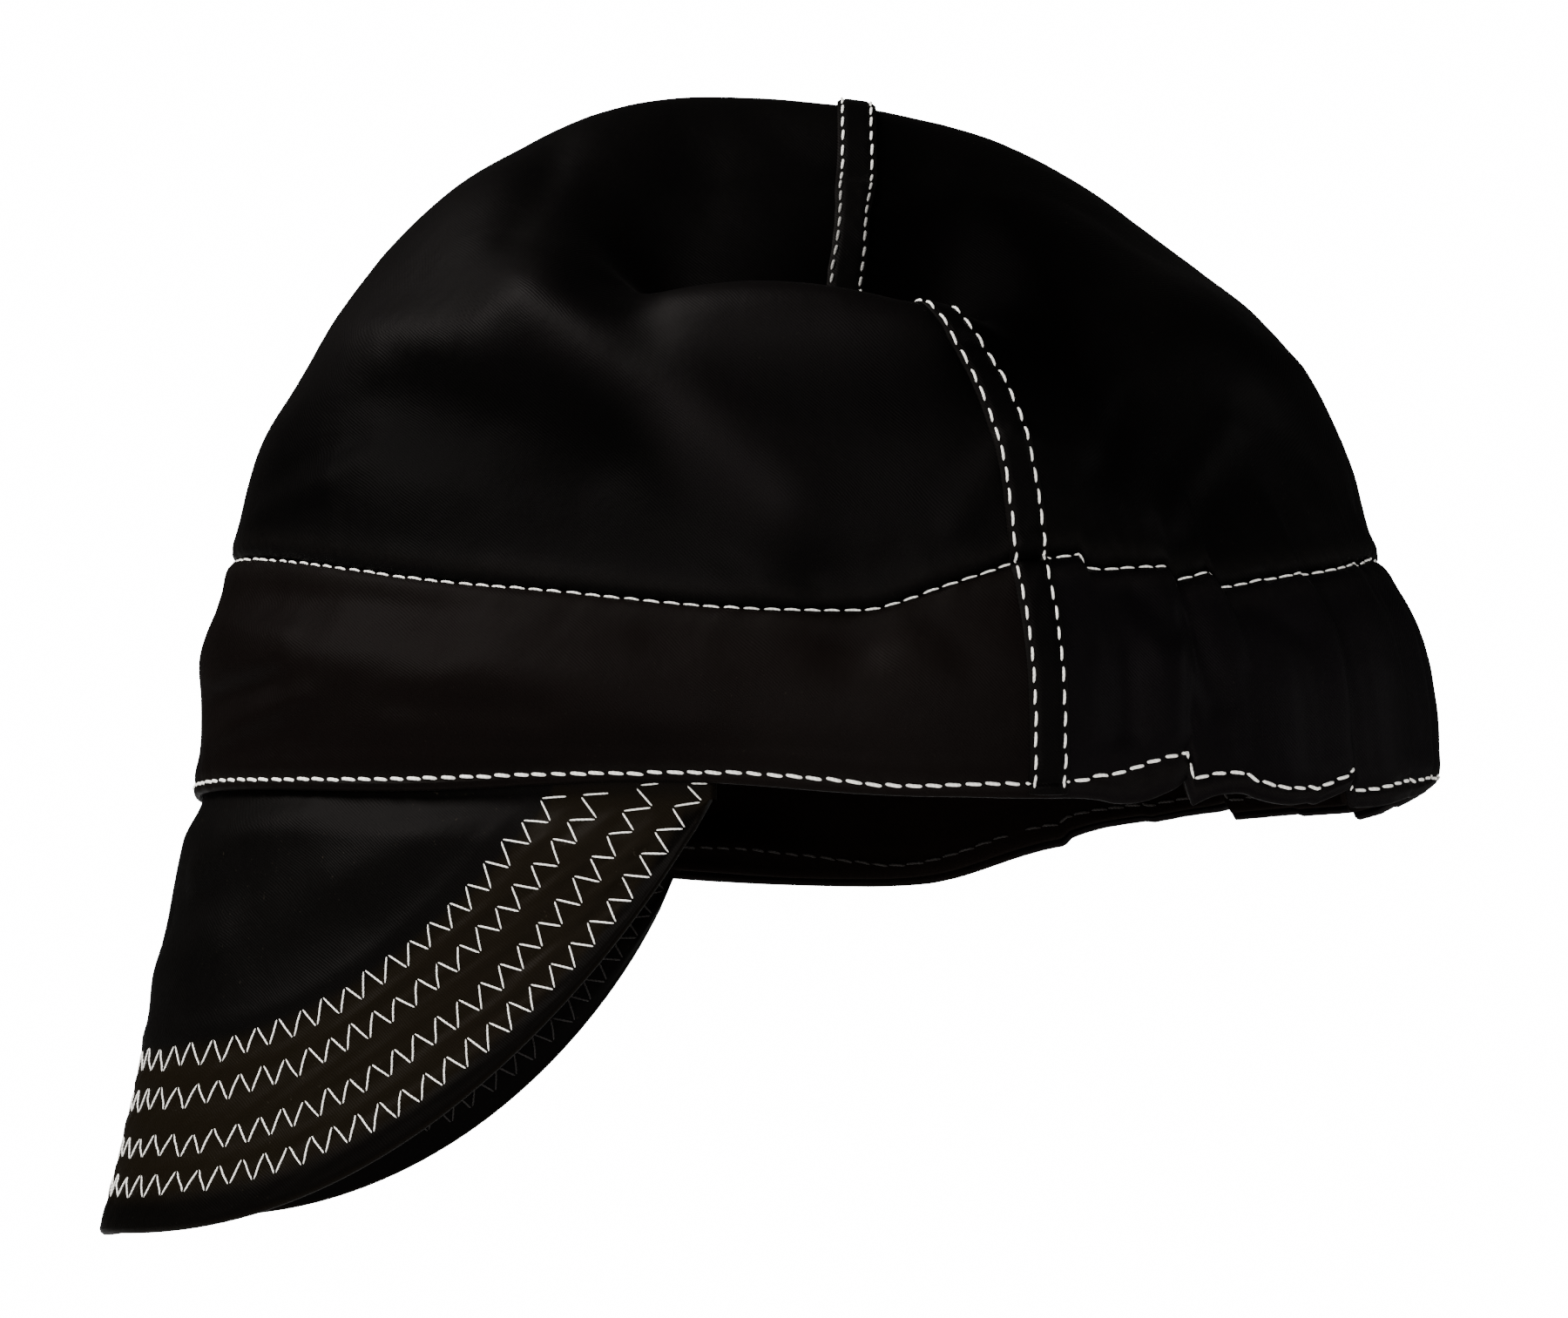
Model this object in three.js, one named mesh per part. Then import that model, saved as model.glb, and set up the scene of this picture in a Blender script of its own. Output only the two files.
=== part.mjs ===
// A soft cloth welding cap with a quilted peak, a gathered elastic band at the rear and an ear-to-ear seam.
// Millimetres, +Z up. The front is -Y, the wearer's left is +X, and the origin is the middle of the head
// opening, level with the hem at the forehead.
import * as THREE from 'three';

// Driving dimensions
const capLength = 225;
const capWidth = 144;
const crownHeight = 126;
const casingHeight = 42.5;
const sideCasingHeight = 32;
const sideDrop = 8.4;
const seamSetback = 7;
const clothWall = 1.6;
const facingWall = 1.2;
const pieceGap = 0.3;
const facingMargin = 1.5;
const facingGap = 0.45;
const fellWidth = 7;
const fellThickness = 0.8;
const fellLift = 0.75;
const peakDrop = 78.3;
const peakTilt = 11.5;
const peakCornerAngle = 77.4;
const farCornerAngle = 73.2;
const peakThickness = 3.2;
const peakEdgeWall = 2;
const peakTuck = 5;
const peakSkew = 0.07;
const gatherCount = 14;
const gatherDepth = 3.2;

const halfLength = capLength / 2;
const halfWidth = capWidth / 2;
const crownRise = crownHeight - casingHeight;
const sideCasingLevel = sideCasingHeight - sideDrop;
const sideCrownRise = crownHeight - sideCasingLevel;
const bandSeamAngle = 107.5;

// Mesh fineness
const frontColumns = 50;
const rearColumns = 70;
const crownColumns = 36;
const bandRows = 5;
const crownRows = 13;
const peakColumns = 40;
const peakRows = 8;
const angleStep = 0.5;
const shareStep = 0.01;

// How the sections are joined: the share of half a turn over which the rear's level gives way to the side's
// high on the crown, the crown's share where that is reached, and the lowest and highest shares of a piece at
// which its surface direction is still taken.
const rearLevelSpan = 0.64;
const rearLevelRise = 0.32;
const lowestShare = 0.02;
const highestShare = 0.985;

// Shares of the crown's height: where its surface direction turns free of the level casing, where the gathers
// and the front and rear pieces' lift have run out, and where the dents fade below the top.
const levelSpan = 0.12;
const gatherSpan = 0.22;
const sinkSpan = 0.2;
const liftSpan = 0.1;
const dentsEnd = 0.86;
const dentsGone = 0.99;
const dentSideShare = 0.35;

// The gathers: their depth at the hem and casing as a share of that between them, their uneven spacing, how
// sharp they are, and the shares of the rear half's angle where they fade towards the seam.
const gatherRimShare = 0.65;
const gatherWander = 0.9;
const gatherWanderCount = 5;
const gatherSharpness = 1.4;
const gatherFade = 0.8;
const gatherGone = 0.98;

// The peak: the share of its rows that is tucked in, the powers of its rounded outline, how far it bows out
// below the hem and hollows above its edge, where it thins towards the edge, and the angles beside it where
// the facing steps out again.
const tuckShare = 0.12;
const peakRoundness = 4;
const peakFullness = 0.85;
const farFullness = 0.7;
const peakBow = 0.8;
const peakHollow = 0.6;
const peakThinning = 0.8;
const peakClearDrop = 1;
const peakFreeDrop = 9;
const facingStepStart = 3;
const facingStepEnd = 12;

// How far the crown's rows gather half way up, where its deepest dent folds, and its columns at the seam.
const rowCrowding = 0.45;
const columnCrowding = 0.55;

// Band sections from the hem to the casing seam, evenly apart: each reach is a share of half the cap's length
// or width, and the rise is a share of the casing seam's height.
const bandSections = [
  { rise: 0.0, front: 1.000, side: 0.980, rear: 1.003 },
  { rise: 0.2, front: 0.991, side: 1.015, rear: 1.004 },
  { rise: 0.4, front: 0.993, side: 1.035, rear: 1.000 },
  { rise: 0.6, front: 0.996, side: 1.040, rear: 0.988 },
  { rise: 0.8, front: 0.969, side: 1.015, rear: 0.961 },
  { rise: 1.0, front: 0.945, side: 0.986, rear: 0.911 },
];

// Crown sections from the casing seam to the top: reaches as above, rises as shares of the height from the
// casing seam to the top, and the angle, in degrees from the front, where the ear-to-ear seam crosses.
const crownSections = [
  { front: 0.945, frontRise: 0.000, side: 0.986, sideRise: 0.000, rear: 0.911, rearRise: 0.000, seam: 107.5 },
  { front: 0.902, frontRise: 0.226, side: 1.010, sideRise: 0.169, rear: 0.867, rearRise: 0.195, seam: 107.2 },
  { front: 0.819, frontRise: 0.437, side: 1.000, sideRise: 0.338, rear: 0.800, rearRise: 0.382, seam: 105.8 },
  { front: 0.721, frontRise: 0.634, side: 0.950, sideRise: 0.500, rear: 0.704, rearRise: 0.536, seam: 102 },
  { front: 0.602, frontRise: 0.805, side: 0.840, sideRise: 0.665, rear: 0.589, rearRise: 0.664, seam: 96.8 },
  { front: 0.452, frontRise: 0.930, side: 0.690, sideRise: 0.805, rear: 0.471, rearRise: 0.788, seam: 88 },
  { front: 0.287, frontRise: 1.012, side: 0.530, sideRise: 0.918, rear: 0.345, rearRise: 0.893, seam: 88.5 },
  { front: 0.111, frontRise: 1.027, side: 0.300, sideRise: 0.984, rear: 0.207, rearRise: 0.969, seam: 90 },
];

// How far the hem and the casing seam have risen from the side's level to the rear's, evenly apart from the
// side to the rear. The elastic pulls the near, left side down more than the far, right side.
const rearLevels = [
  { hem: 0.00, casing: 0.00, farHem: 0.00, farCasing: 0.00 },
  { hem: 0.02, casing: 0.24, farHem: 0.10, farCasing: 0.17 },
  { hem: 0.06, casing: 0.52, farHem: 0.62, farCasing: 0.47 },
  { hem: 0.40, casing: 0.53, farHem: 1.00, farCasing: 0.79 },
  { hem: 0.50, casing: 0.47, farHem: 1.20, farCasing: 0.98 },
  { hem: 0.28, casing: 0.47, farHem: 1.26, farCasing: 1.00 },
  { hem: 0.36, casing: 0.59, farHem: 1.15, farCasing: 1.00 },
  { hem: 0.56, casing: 0.71, farHem: 1.02, farCasing: 1.00 },
  { hem: 0.72, casing: 0.85, farHem: 1.04, farCasing: 1.00 },
  { hem: 0.96, casing: 0.95, farHem: 1.10, farCasing: 1.00 },
  { hem: 1.14, casing: 1.00, farHem: 1.14, farCasing: 1.00 },
];

// Dents (negative push) and soft ridges (positive push) along short lines seen from the side: back is a share
// of half the length, up of the crown's height, spread of half the length, and push and sink, which lowers the
// cloth, are shares of half the width. A higher edge gives a crisper border.
const LEFT = 1;
const RIGHT = -1;
const folds = [
  { side: LEFT, back: -0.17, up: 0.87, toBack: 0.10, toUp: 0.85, spread: 0.175, edge: 3, push: -0.06, sink: 0.26 },
  { side: LEFT, back: -0.36, up: 0.86, toBack: -0.24, toUp: 0.80, spread: 0.11, edge: 2, push: -0.03, sink: 0.1 },
  { side: LEFT, back: -0.33, up: 0.66, toBack: -0.22, toUp: 0.53, spread: 0.055, edge: 2, push: -0.045, sink: 0 },
  { side: LEFT, back: 0.26, up: 0.74, toBack: 0.62, toUp: 0.42, spread: 0.140, edge: 2, push: -0.09, sink: 0.04 },
  { side: LEFT, back: -0.20, up: 0.61, toBack: 0.18, toUp: 0.62, spread: 0.090, edge: 2, push: 0.06, sink: 0 },
  { side: LEFT, back: -0.47, up: 0.68, toBack: -0.05, toUp: 0.33, spread: 0.070, edge: 2, push: 0.06, sink: 0 },
  { side: LEFT, back: -0.62, up: 0.50, toBack: -0.36, toUp: 0.42, spread: 0.110, edge: 2, push: -0.05, sink: 0 },
  { side: LEFT, back: -0.72, up: 0.62, toBack: -0.54, toUp: 0.58, spread: 0.060, edge: 2, push: 0.03, sink: 0 },
  { side: LEFT, back: -0.86, up: 0.26, toBack: -0.60, toUp: 0.19, spread: 0.070, edge: 2, push: -0.03, sink: 0 },
  { side: LEFT, back: -0.55, up: 0.10, toBack: -0.20, toUp: 0.04, spread: 0.080, edge: 2, push: 0.03, sink: 0 },
  { side: LEFT, back: 0.00, up: 0.22, toBack: 0.05, toUp: 0.14, spread: 0.060, edge: 2, push: -0.035, sink: 0 },
  { side: RIGHT, back: -0.20, up: 0.90, toBack: 0.12, toUp: 0.88, spread: 0.180, edge: 2, push: -0.04, sink: 0.13 },
  { side: RIGHT, back: -0.42, up: 0.74, toBack: -0.02, toUp: 0.46, spread: 0.080, edge: 2, push: 0.05, sink: 0 },
  { side: RIGHT, back: 0.24, up: 0.72, toBack: 0.56, toUp: 0.44, spread: 0.130, edge: 2, push: -0.07, sink: 0.03 },
  { side: RIGHT, back: -0.66, up: 0.46, toBack: -0.40, toUp: 0.50, spread: 0.100, edge: 2, push: -0.04, sink: 0 },
  { side: RIGHT, back: -0.50, up: 0.16, toBack: -0.10, toUp: 0.08, spread: 0.080, edge: 2, push: 0.025, sink: 0 },
];

const radians = THREE.MathUtils.degToRad;
const smooth = THREE.MathUtils.smoothstep;

// A smooth curve through one column of reaches and rises. The phantom point carries it over the top.
function profile(points, phantom) {
  const all = phantom ? [...points, phantom] : points;
  const curve = new THREE.SplineCurve(all.map(([reach, rise]) => new THREE.Vector2(reach, rise)));
  const last = (points.length - 1) / (all.length - 1);
  return (share) => curve.getPoint(share * last);
}

// The level of the hem and of the casing seam, by the angle from the front on each side. A mirrored level ahead
// of the first lets the curve leave the side smoothly.
const quarterTurn = 90;
const fromFront = (angle) => Math.abs(angle > 180 ? angle - 360 : angle);
const onFarSide = (angle) => angle < 0 || angle > 180;
const levelCurve = (column) => {
  const levels = [rearLevels[1], ...rearLevels].map((row) => row[column]);
  const curve = new THREE.SplineCurve(levels.map((level, i) => new THREE.Vector2(i, level)));
  const first = 1 / (levels.length - 1);
  return (angle) => curve.getPoint(Math.max(first + (fromFront(angle) / quarterTurn - 1) * (1 - first), first)).y;
};
const nearLevel = { hem: levelCurve('hem'), casing: levelCurve('casing') };
const farLevel = { hem: levelCurve('farHem'), casing: levelCurve('farCasing') };
const rearLevel = (angle) => (onFarSide(angle) ? farLevel : nearLevel);

const bandProfile = {
  rearLevel: (angle, share) => {
    return THREE.MathUtils.lerp(rearLevel(angle).hem(angle), rearLevel(angle).casing(angle), share);
  },
  front: profile(bandSections.map((row) => [row.front * halfLength, row.rise * casingHeight])),
  side: profile(bandSections.map((row) => [row.side * halfWidth, row.rise * sideCasingHeight - sideDrop])),
  rear: profile(bandSections.map((row) => [row.rear * halfLength, row.rise * casingHeight])),
};

const frontPoints = crownSections.map((row) => [row.front * halfLength, casingHeight + row.frontRise * crownRise]);
const rearPoints = crownSections.map((row) => [row.rear * halfLength, casingHeight + row.rearRise * crownRise]);
const sidePoints = crownSections.map((row) => {
  return [row.side * halfWidth, sideCasingLevel + row.sideRise * sideCrownRise];
});
const [nextReach, nextRise] = rearPoints.at(-1);
const [beforeReach, beforeRise] = frontPoints.at(-1);
const [besideReach, besideRise] = sidePoints.at(-1);
const topSlope = (nextRise - beforeRise) / (nextReach + beforeReach);
const crownProfile = {
  rearLevel: (angle, share) => {
    const plain = smooth(-Math.cos(radians(angle)), 0, rearLevelSpan);
    return THREE.MathUtils.lerp(rearLevel(angle).casing(angle), plain, smooth(share, 0, rearLevelRise));
  },
  front: profile([...frontPoints, [-seamSetback, crownHeight]], [-nextReach, nextRise]),
  side: profile([...sidePoints, [0, crownHeight]], [-besideReach, besideRise]),
  rear: profile([...rearPoints, [seamSetback, crownHeight]], [-beforeReach, beforeRise]),
};
const seamCurve = new THREE.SplineCurve(crownSections.map((row, i) => new THREE.Vector2(i, row.seam)));
const seamTopShare = (crownSections.length - 1) / crownSections.length;
const seamAngle = (share) => seamCurve.getPoint(Math.min(share / seamTopShare, 1)).y;

// A point of the plain surface, where the angle runs from the front round the wearer's left.
function basePoint(sections, angle, share) {
  const turn = radians(angle);
  const towardsFront = Math.cos(turn);
  const side = sections.side(share);
  const end = towardsFront >= 0 ? sections.front(share) : sections.rear(share);
  const reach = towardsFront >= 0 ? end.x + seamSetback : end.x - seamSetback;
  const towardsEnd = towardsFront >= 0 ? towardsFront ** 2 : sections.rearLevel(angle, share);
  const level = THREE.MathUtils.lerp(side.y, end.y, towardsEnd);
  return new THREE.Vector3(side.x * Math.sin(turn), seamSetback - reach * towardsFront, level);
}

// How far the dents and ridges push a point out and lower it.
function foldMove(point) {
  const move = { push: 0, sink: 0 };
  for (const fold of folds) {
    const from = new THREE.Vector2(fold.back * halfLength, fold.up * crownHeight);
    const along = new THREE.Vector2(fold.toBack * halfLength, fold.toUp * crownHeight).sub(from);
    const offset = new THREE.Vector2(point.y, point.z).sub(from);
    const share = THREE.MathUtils.clamp(offset.dot(along) / along.lengthSq(), 0, 1);
    const away = offset.distanceTo(along.multiplyScalar(share)) / (fold.spread * halfLength);
    const onSide = smooth(point.x * fold.side, 0, halfWidth * dentSideShare);
    const amount = halfWidth * onSide * Math.exp(-(away ** fold.edge));
    move.push += fold.push * amount;
    move.sink += fold.sink * amount;
  }
  return move;
}

// How far the gathers of the elastic band push a point in.
function gatherPush(angle, strength) {
  const fromRear = 180 - fromFront(angle);
  const rearHalf = 180 - bandSeamAngle;
  const fade = 1 - smooth(fromRear, rearHalf * gatherFade, rearHalf * gatherGone);
  const turn = radians(angle - 180) * gatherCount * 180 / rearHalf / 2;
  const wander = gatherWander * Math.sin(radians(angle) * gatherWanderCount);
  const valley = (1 + Math.cos(turn + wander)) / 2;
  return -gatherDepth * strength * fade * valley ** gatherSharpness;
}

// The direction in which cloth is pushed and thickened: level in the band and at the casing seam.
function outward(sections, angle, share, levelTo) {
  const around = basePoint(sections, angle + angleStep, share);
  around.sub(basePoint(sections, angle - angleStep, share));
  const up = basePoint(sections, angle, Math.min(share + shareStep, 1));
  up.sub(basePoint(sections, angle, Math.max(share - shareStep, 0)));
  const normal = around.cross(up).normalize();
  normal.z *= levelTo;
  return normal.normalize();
}

function bandPoint(angle, share, depth) {
  const point = basePoint(bandProfile, angle, share);
  const normal = outward(bandProfile, angle, Math.max(share, lowestShare), 0);
  const strength = gatherRimShare + (1 - gatherRimShare) * Math.sin(Math.PI * share);
  const push = foldMove(point).push + gatherPush(angle, strength);
  return point.addScaledVector(normal, push - depth);
}

// The same, on the flat facets between the band's rows, for what lies against the band.
function bandFacet(angle, share, depth) {
  const row = Math.min(Math.floor(share * bandRows), bandRows - 1);
  const low = bandPoint(angle, row / bandRows, depth);
  return low.lerp(bandPoint(angle, (row + 1) / bandRows, depth), share * bandRows - row);
}

function crownPoint(angle, share, depth) {
  const nearTop = Math.min(share, highestShare);
  const point = basePoint(crownProfile, angle, share);
  const normal = outward(crownProfile, angle, nearTop, smooth(share, 0, levelSpan));
  const calm = 1 - smooth(share, dentsEnd, dentsGone);
  const move = foldMove(point);
  const gather = gatherPush(angle, gatherRimShare * (1 - smooth(share, 0, gatherSpan)));
  point.addScaledVector(normal, move.push * calm + gather);
  point.z -= move.sink * calm * smooth(share, 0, sinkSpan);
  return point.addScaledVector(share === 1 ? new THREE.Vector3(0, 0, 1) : normal, -depth);
}

// A closed slab of cloth: surface(across, up, inside) gives its two faces, and their rims are joined.
function clothSlab(columns, rows, surface, topIsPoint = false) {
  const positions = [];
  const indices = [];
  const corner = [[], []];
  for (const inside of [0, 1]) {
    for (let row = 0; row <= rows; row += 1) {
      const ids = [];
      for (let column = 0; column <= columns; column += 1) {
        if (topIsPoint && row === rows && column > 0) {
          ids.push(ids[0]);
          continue;
        }
        ids.push(positions.length / 3);
        positions.push(...surface(column / columns, row / rows, inside).toArray());
      }
      corner[inside].push(ids);
    }
  }
  const quad = (a, b, c, d) => {
    for (const face of [[a, b, c], [a, c, d]]) {
      if (new Set(face).size === 3) {
        indices.push(...face);
      }
    }
  };
  const [outer, inner] = corner;
  for (let row = 0; row < rows; row += 1) {
    for (let column = 0; column < columns; column += 1) {
      quad(outer[row][column], outer[row][column + 1], outer[row + 1][column + 1], outer[row + 1][column]);
      quad(inner[row][column], inner[row + 1][column], inner[row + 1][column + 1], inner[row][column + 1]);
    }
    quad(inner[row][0], outer[row][0], outer[row + 1][0], inner[row + 1][0]);
    quad(outer[row][columns], inner[row][columns], inner[row + 1][columns], outer[row + 1][columns]);
  }
  for (let column = 0; column < columns; column += 1) {
    quad(inner[0][column], inner[0][column + 1], outer[0][column + 1], outer[0][column]);
    quad(outer[rows][column], outer[rows][column + 1], inner[rows][column + 1], inner[rows][column]);
  }
  const geometry = new THREE.BufferGeometry();
  geometry.setAttribute('position', new THREE.Float32BufferAttribute(positions, 3));
  geometry.setIndex(indices);
  geometry.computeVertexNormals();
  return geometry;
}

// The front and rear pieces are each set half a gap away from the ear-to-ear seam.
const FRONT = { start: (seam) => -seam, end: (seam) => seam, shift: -pieceGap / 2 };
const REAR = { start: (seam) => seam, end: (seam) => 360 - seam, shift: pieceGap / 2 };

function angleAcross(half, seam, across) {
  return THREE.MathUtils.lerp(half.start(seam), half.end(seam), across);
}

const wave = (share) => Math.sin(2 * Math.PI * share) / (2 * Math.PI);
const crownShare = (up) => up + rowCrowding * wave(up);
const crownAcross = (across) => across - columnCrowding * wave(across);

function crownPanel(half) {
  return clothSlab(crownColumns, crownRows, (across, up, inside) => {
    const share = up === 1 ? 1 : crownShare(up);
    const angle = angleAcross(half, seamAngle(share), crownAcross(across));
    const point = crownPoint(angle, share, inside * clothWall);
    point.y += half.shift;
    point.z += pieceGap * (1 - smooth(share, 0, liftSpan));
    return point;
  }, true);
}

function bandPanel(half, columns) {
  return clothSlab(columns, bandRows, (across, up, inside) => {
    const point = bandPoint(angleAcross(half, bandSeamAngle, across), up, inside * clothWall);
    point.y += half.shift;
    return point;
  });
}

const cornerAngle = (angle) => (onFarSide(angle) ? farCornerAngle : peakCornerAngle);

// The facing lies inside the band and steps further in where the peak is tucked behind the hem.
function facingDepth(angle, share) {
  const tuckRow = Math.ceil(peakTuck / casingHeight * bandRows) / bandRows;
  const overTuck = 1 - smooth(share, tuckRow, tuckRow + 1 / bandRows);
  const pastCorner = fromFront(angle) - cornerAngle(angle);
  const besidePeak = 1 - smooth(pastCorner, facingStepStart, facingStepEnd);
  return clothWall + facingGap + (peakThickness + pieceGap) * overTuck * besidePeak;
}

function facingPanel(half, columns) {
  const lowest = facingMargin / casingHeight;
  return clothSlab(columns, bandRows, (across, up, inside) => {
    const angle = angleAcross(half, bandSeamAngle, across);
    const share = THREE.MathUtils.clamp(up, lowest, 1 - lowest);
    const point = bandFacet(angle, share, facingDepth(angle, share) + inside * facingWall);
    point.y += half.shift;
    return point;
  });
}

// The folded strip of the flat-felled seam, from the left hem over the top to the right hem. Over the top,
// where the angles run together, the strip is laid off square to the seam instead of round the crown.
const fellTopShare = 0.84;
const fellRows = bandRows + crownRows;

function seamPoint(side, row, sideways, depth) {
  const inBand = row <= bandRows;
  const share = inBand ? row / bandRows : crownShare((row - bandRows) / crownRows);
  const surface = inBand ? bandPoint : crownPoint;
  const angle = inBand ? bandSeamAngle : seamAngle(share);
  const centre = surface(side * angle, row === fellRows ? 1 : share, depth);
  if (!inBand && share > fellTopShare) {
    return centre.add(new THREE.Vector3(0, sideways, sideways * topSlope));
  }
  const step = surface(side * (angle + 1), share, depth).distanceTo(centre);
  return surface(side * (angle + sideways / step), share, depth);
}

function seamFell() {
  return clothSlab(2, 2 * fellRows, (across, along, inside) => {
    const row = Math.round(along * 2 * fellRows);
    const sideways = (across - 0.5) * fellWidth;
    const lift = fellLift + (inside ? 0 : fellThickness);
    return seamPoint(row < fellRows ? LEFT : RIGHT, fellRows - Math.abs(row - fellRows), sideways, -lift);
  });
}

// The peak hangs from inside the front hem and leans forward, deepest in the middle.
function peakPoint(across, down, inside) {
  const corner = cornerAngle(across - 0.5);
  const angle = (2 * across - 1) * corner;
  const depth = clothWall + pieceGap;
  if (down < tuckShare) {
    const share = (1 - down / tuckShare) * peakTuck / casingHeight;
    return bandFacet(angle, share, depth + inside * peakThickness);
  }
  const hang = (down - tuckShare) / (1 - tuckShare);
  const out = outward(bandProfile, angle, lowestShare, 0);
  const skew = 1 - peakSkew * smooth(-angle, 0, corner / 2);
  const fullness = onFarSide(angle) ? farFullness : peakFullness;
  const outline = (1 - Math.abs(2 * across - 1) ** peakRoundness) ** fullness;
  const drop = peakDrop * skew * outline * hang;
  const thickness = THREE.MathUtils.lerp(peakThickness, peakEdgeWall, smooth(hang, peakThinning, 1));
  const bow = peakBow * Math.sin(Math.PI * hang) * (Math.cos(Math.PI * hang) - peakHollow);
  const swell = depth * smooth(drop, peakClearDrop, peakFreeDrop) + bow;
  const point = bandPoint(angle, 0, depth).addScaledVector(out, swell - inside * thickness);
  const lean = Math.tan(radians(peakTilt));
  return point.add(new THREE.Vector3(0, -lean * drop, -drop));
}

function peakPiece() {
  return clothSlab(peakColumns, peakRows, (across, up, inside) => peakPoint(across, 1 - up, inside));
}

const blackCloth = { color: 0x1b1a1b, roughness: 0.75, metalness: 0 };
const innerCloth = { color: 0x171617, roughness: 0.85, metalness: 0 };

const cap = new THREE.Group();

function addPiece(name, geometry, finish) {
  const mesh = new THREE.Mesh(geometry, new THREE.MeshStandardMaterial(finish));
  mesh.name = name;
  cap.add(mesh);
}

addPiece('crown_front', crownPanel(FRONT), blackCloth);
addPiece('crown_rear', crownPanel(REAR), blackCloth);
addPiece('crown_seam_fell', seamFell(), blackCloth);
addPiece('band_front', bandPanel(FRONT, frontColumns), blackCloth);
addPiece('band_rear', bandPanel(REAR, rearColumns), blackCloth);
addPiece('facing_front', facingPanel(FRONT, frontColumns), innerCloth);
addPiece('facing_rear', facingPanel(REAR, rearColumns), innerCloth);
addPiece('peak', peakPiece(), blackCloth);

export default cap;
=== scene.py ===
# A soft cloth welding cap with a quilted peak, a gathered rear band and an ear-to-ear felled seam.
# Lengths are millimetres until a mesh is made, and metres in Blender. The front is -Y, the wearer's left is
# +X, and the origin is the middle of the head opening, level with the hem at the forehead.
import math
from collections import namedtuple

import bpy
import numpy as np
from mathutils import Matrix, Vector


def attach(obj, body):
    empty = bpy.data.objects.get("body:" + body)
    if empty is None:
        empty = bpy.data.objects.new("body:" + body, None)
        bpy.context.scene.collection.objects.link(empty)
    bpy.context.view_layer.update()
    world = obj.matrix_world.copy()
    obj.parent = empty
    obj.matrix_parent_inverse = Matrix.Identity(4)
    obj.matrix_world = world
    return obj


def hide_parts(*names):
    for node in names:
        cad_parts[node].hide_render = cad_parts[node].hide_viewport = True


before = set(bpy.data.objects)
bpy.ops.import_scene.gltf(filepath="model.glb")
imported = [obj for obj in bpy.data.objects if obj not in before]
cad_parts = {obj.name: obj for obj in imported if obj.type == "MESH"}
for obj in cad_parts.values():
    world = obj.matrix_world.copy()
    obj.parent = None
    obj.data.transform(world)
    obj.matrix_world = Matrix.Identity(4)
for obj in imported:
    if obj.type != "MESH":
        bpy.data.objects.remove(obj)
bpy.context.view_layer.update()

MM = 0.001
BODY = "root"

# Driving dimensions, as in the solids
CAP_LENGTH = 225
CAP_WIDTH = 144
CROWN_HEIGHT = 126
CASING_HEIGHT = 42.5
SIDE_CASING_HEIGHT = 32
SIDE_DROP = 8.4
SEAM_SETBACK = 7
CLOTH_WALL = 1.6
FACING_WALL = 1.2
PIECE_GAP = 0.3
FACING_MARGIN = 1.5
FACING_GAP = 0.45
FELL_WIDTH = 7
FELL_LIFT = 1.1
PEAK_DROP = 78.3
PEAK_TILT = 11.5
PEAK_CORNER_ANGLE = 77.4
FAR_CORNER_ANGLE = 73.2
PEAK_THICKNESS = 3.2
PEAK_EDGE_WALL = 2
PEAK_TUCK = 5
PEAK_SKEW = 0.07
BAND_SEAM_ANGLE = 107.5

# Sizes that follow. An arc is the cloth round one degree.
HALF_LENGTH = CAP_LENGTH / 2
HALF_WIDTH = CAP_WIDTH / 2
CROWN_RISE = CROWN_HEIGHT - CASING_HEIGHT
SIDE_CASING_LEVEL = SIDE_CASING_HEIGHT - SIDE_DROP
SIDE_CROWN_RISE = CROWN_HEIGHT - SIDE_CASING_LEVEL
CROWN_CLOTH = 118
BAND_ARC = 1.75
CROWN_ARC = 1.7
FRONT_SPAN = (-BAND_SEAM_ANGLE, BAND_SEAM_ANGLE)
REAR_SPAN = (BAND_SEAM_ANGLE, 360 - BAND_SEAM_ANGLE)
REAR_LEVEL_SPAN = 0.64
REAR_LEVEL_RISE = 0.32
LOWEST_SHARE = 0.02
HIGHEST_SHARE = 0.985
PEAK_ROUNDNESS = 4
PEAK_FULLNESS = 0.85
FAR_FULLNESS = 0.7
PEAK_BOW = 0.8
PEAK_HOLLOW = 0.6

# Sewing
HEM_STITCH_HEIGHT = 3.4
EDGE_LIFT_REACH = 14
THREAD_RADIUS = 0.23
CASING_THREAD_RADIUS = 0.20
HEM_THREAD_RADIUS = 0.30
ZIGZAG_RADIUS = 0.155
NEEDLE_SPACING = 5.2
SEAM_THREAD_LIFT = 0.82
CASING_ROW_SHARE = 0.985
FACING_CASING_ROW_SHARE = 0.93
ZIGZAG_WIDTH = 4.7
ZIGZAG_PITCH = 4.6
ZIGZAG_UNDER_HEM = 5.6
ZIGZAG_TOP = -2.6

# Straight rows: the pitch, the share of it that the thread shows, and how far a stitch leans.
Sewing = namedtuple("Sewing", "pitch share lean")
HEM_SEWING = Sewing(3.42, 0.90, 0.16)
CASING_SEWING = Sewing(3.50, 0.95, 0.10)
SEAM_SEWING = Sewing(3.72, 0.74, 0.10)

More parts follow.
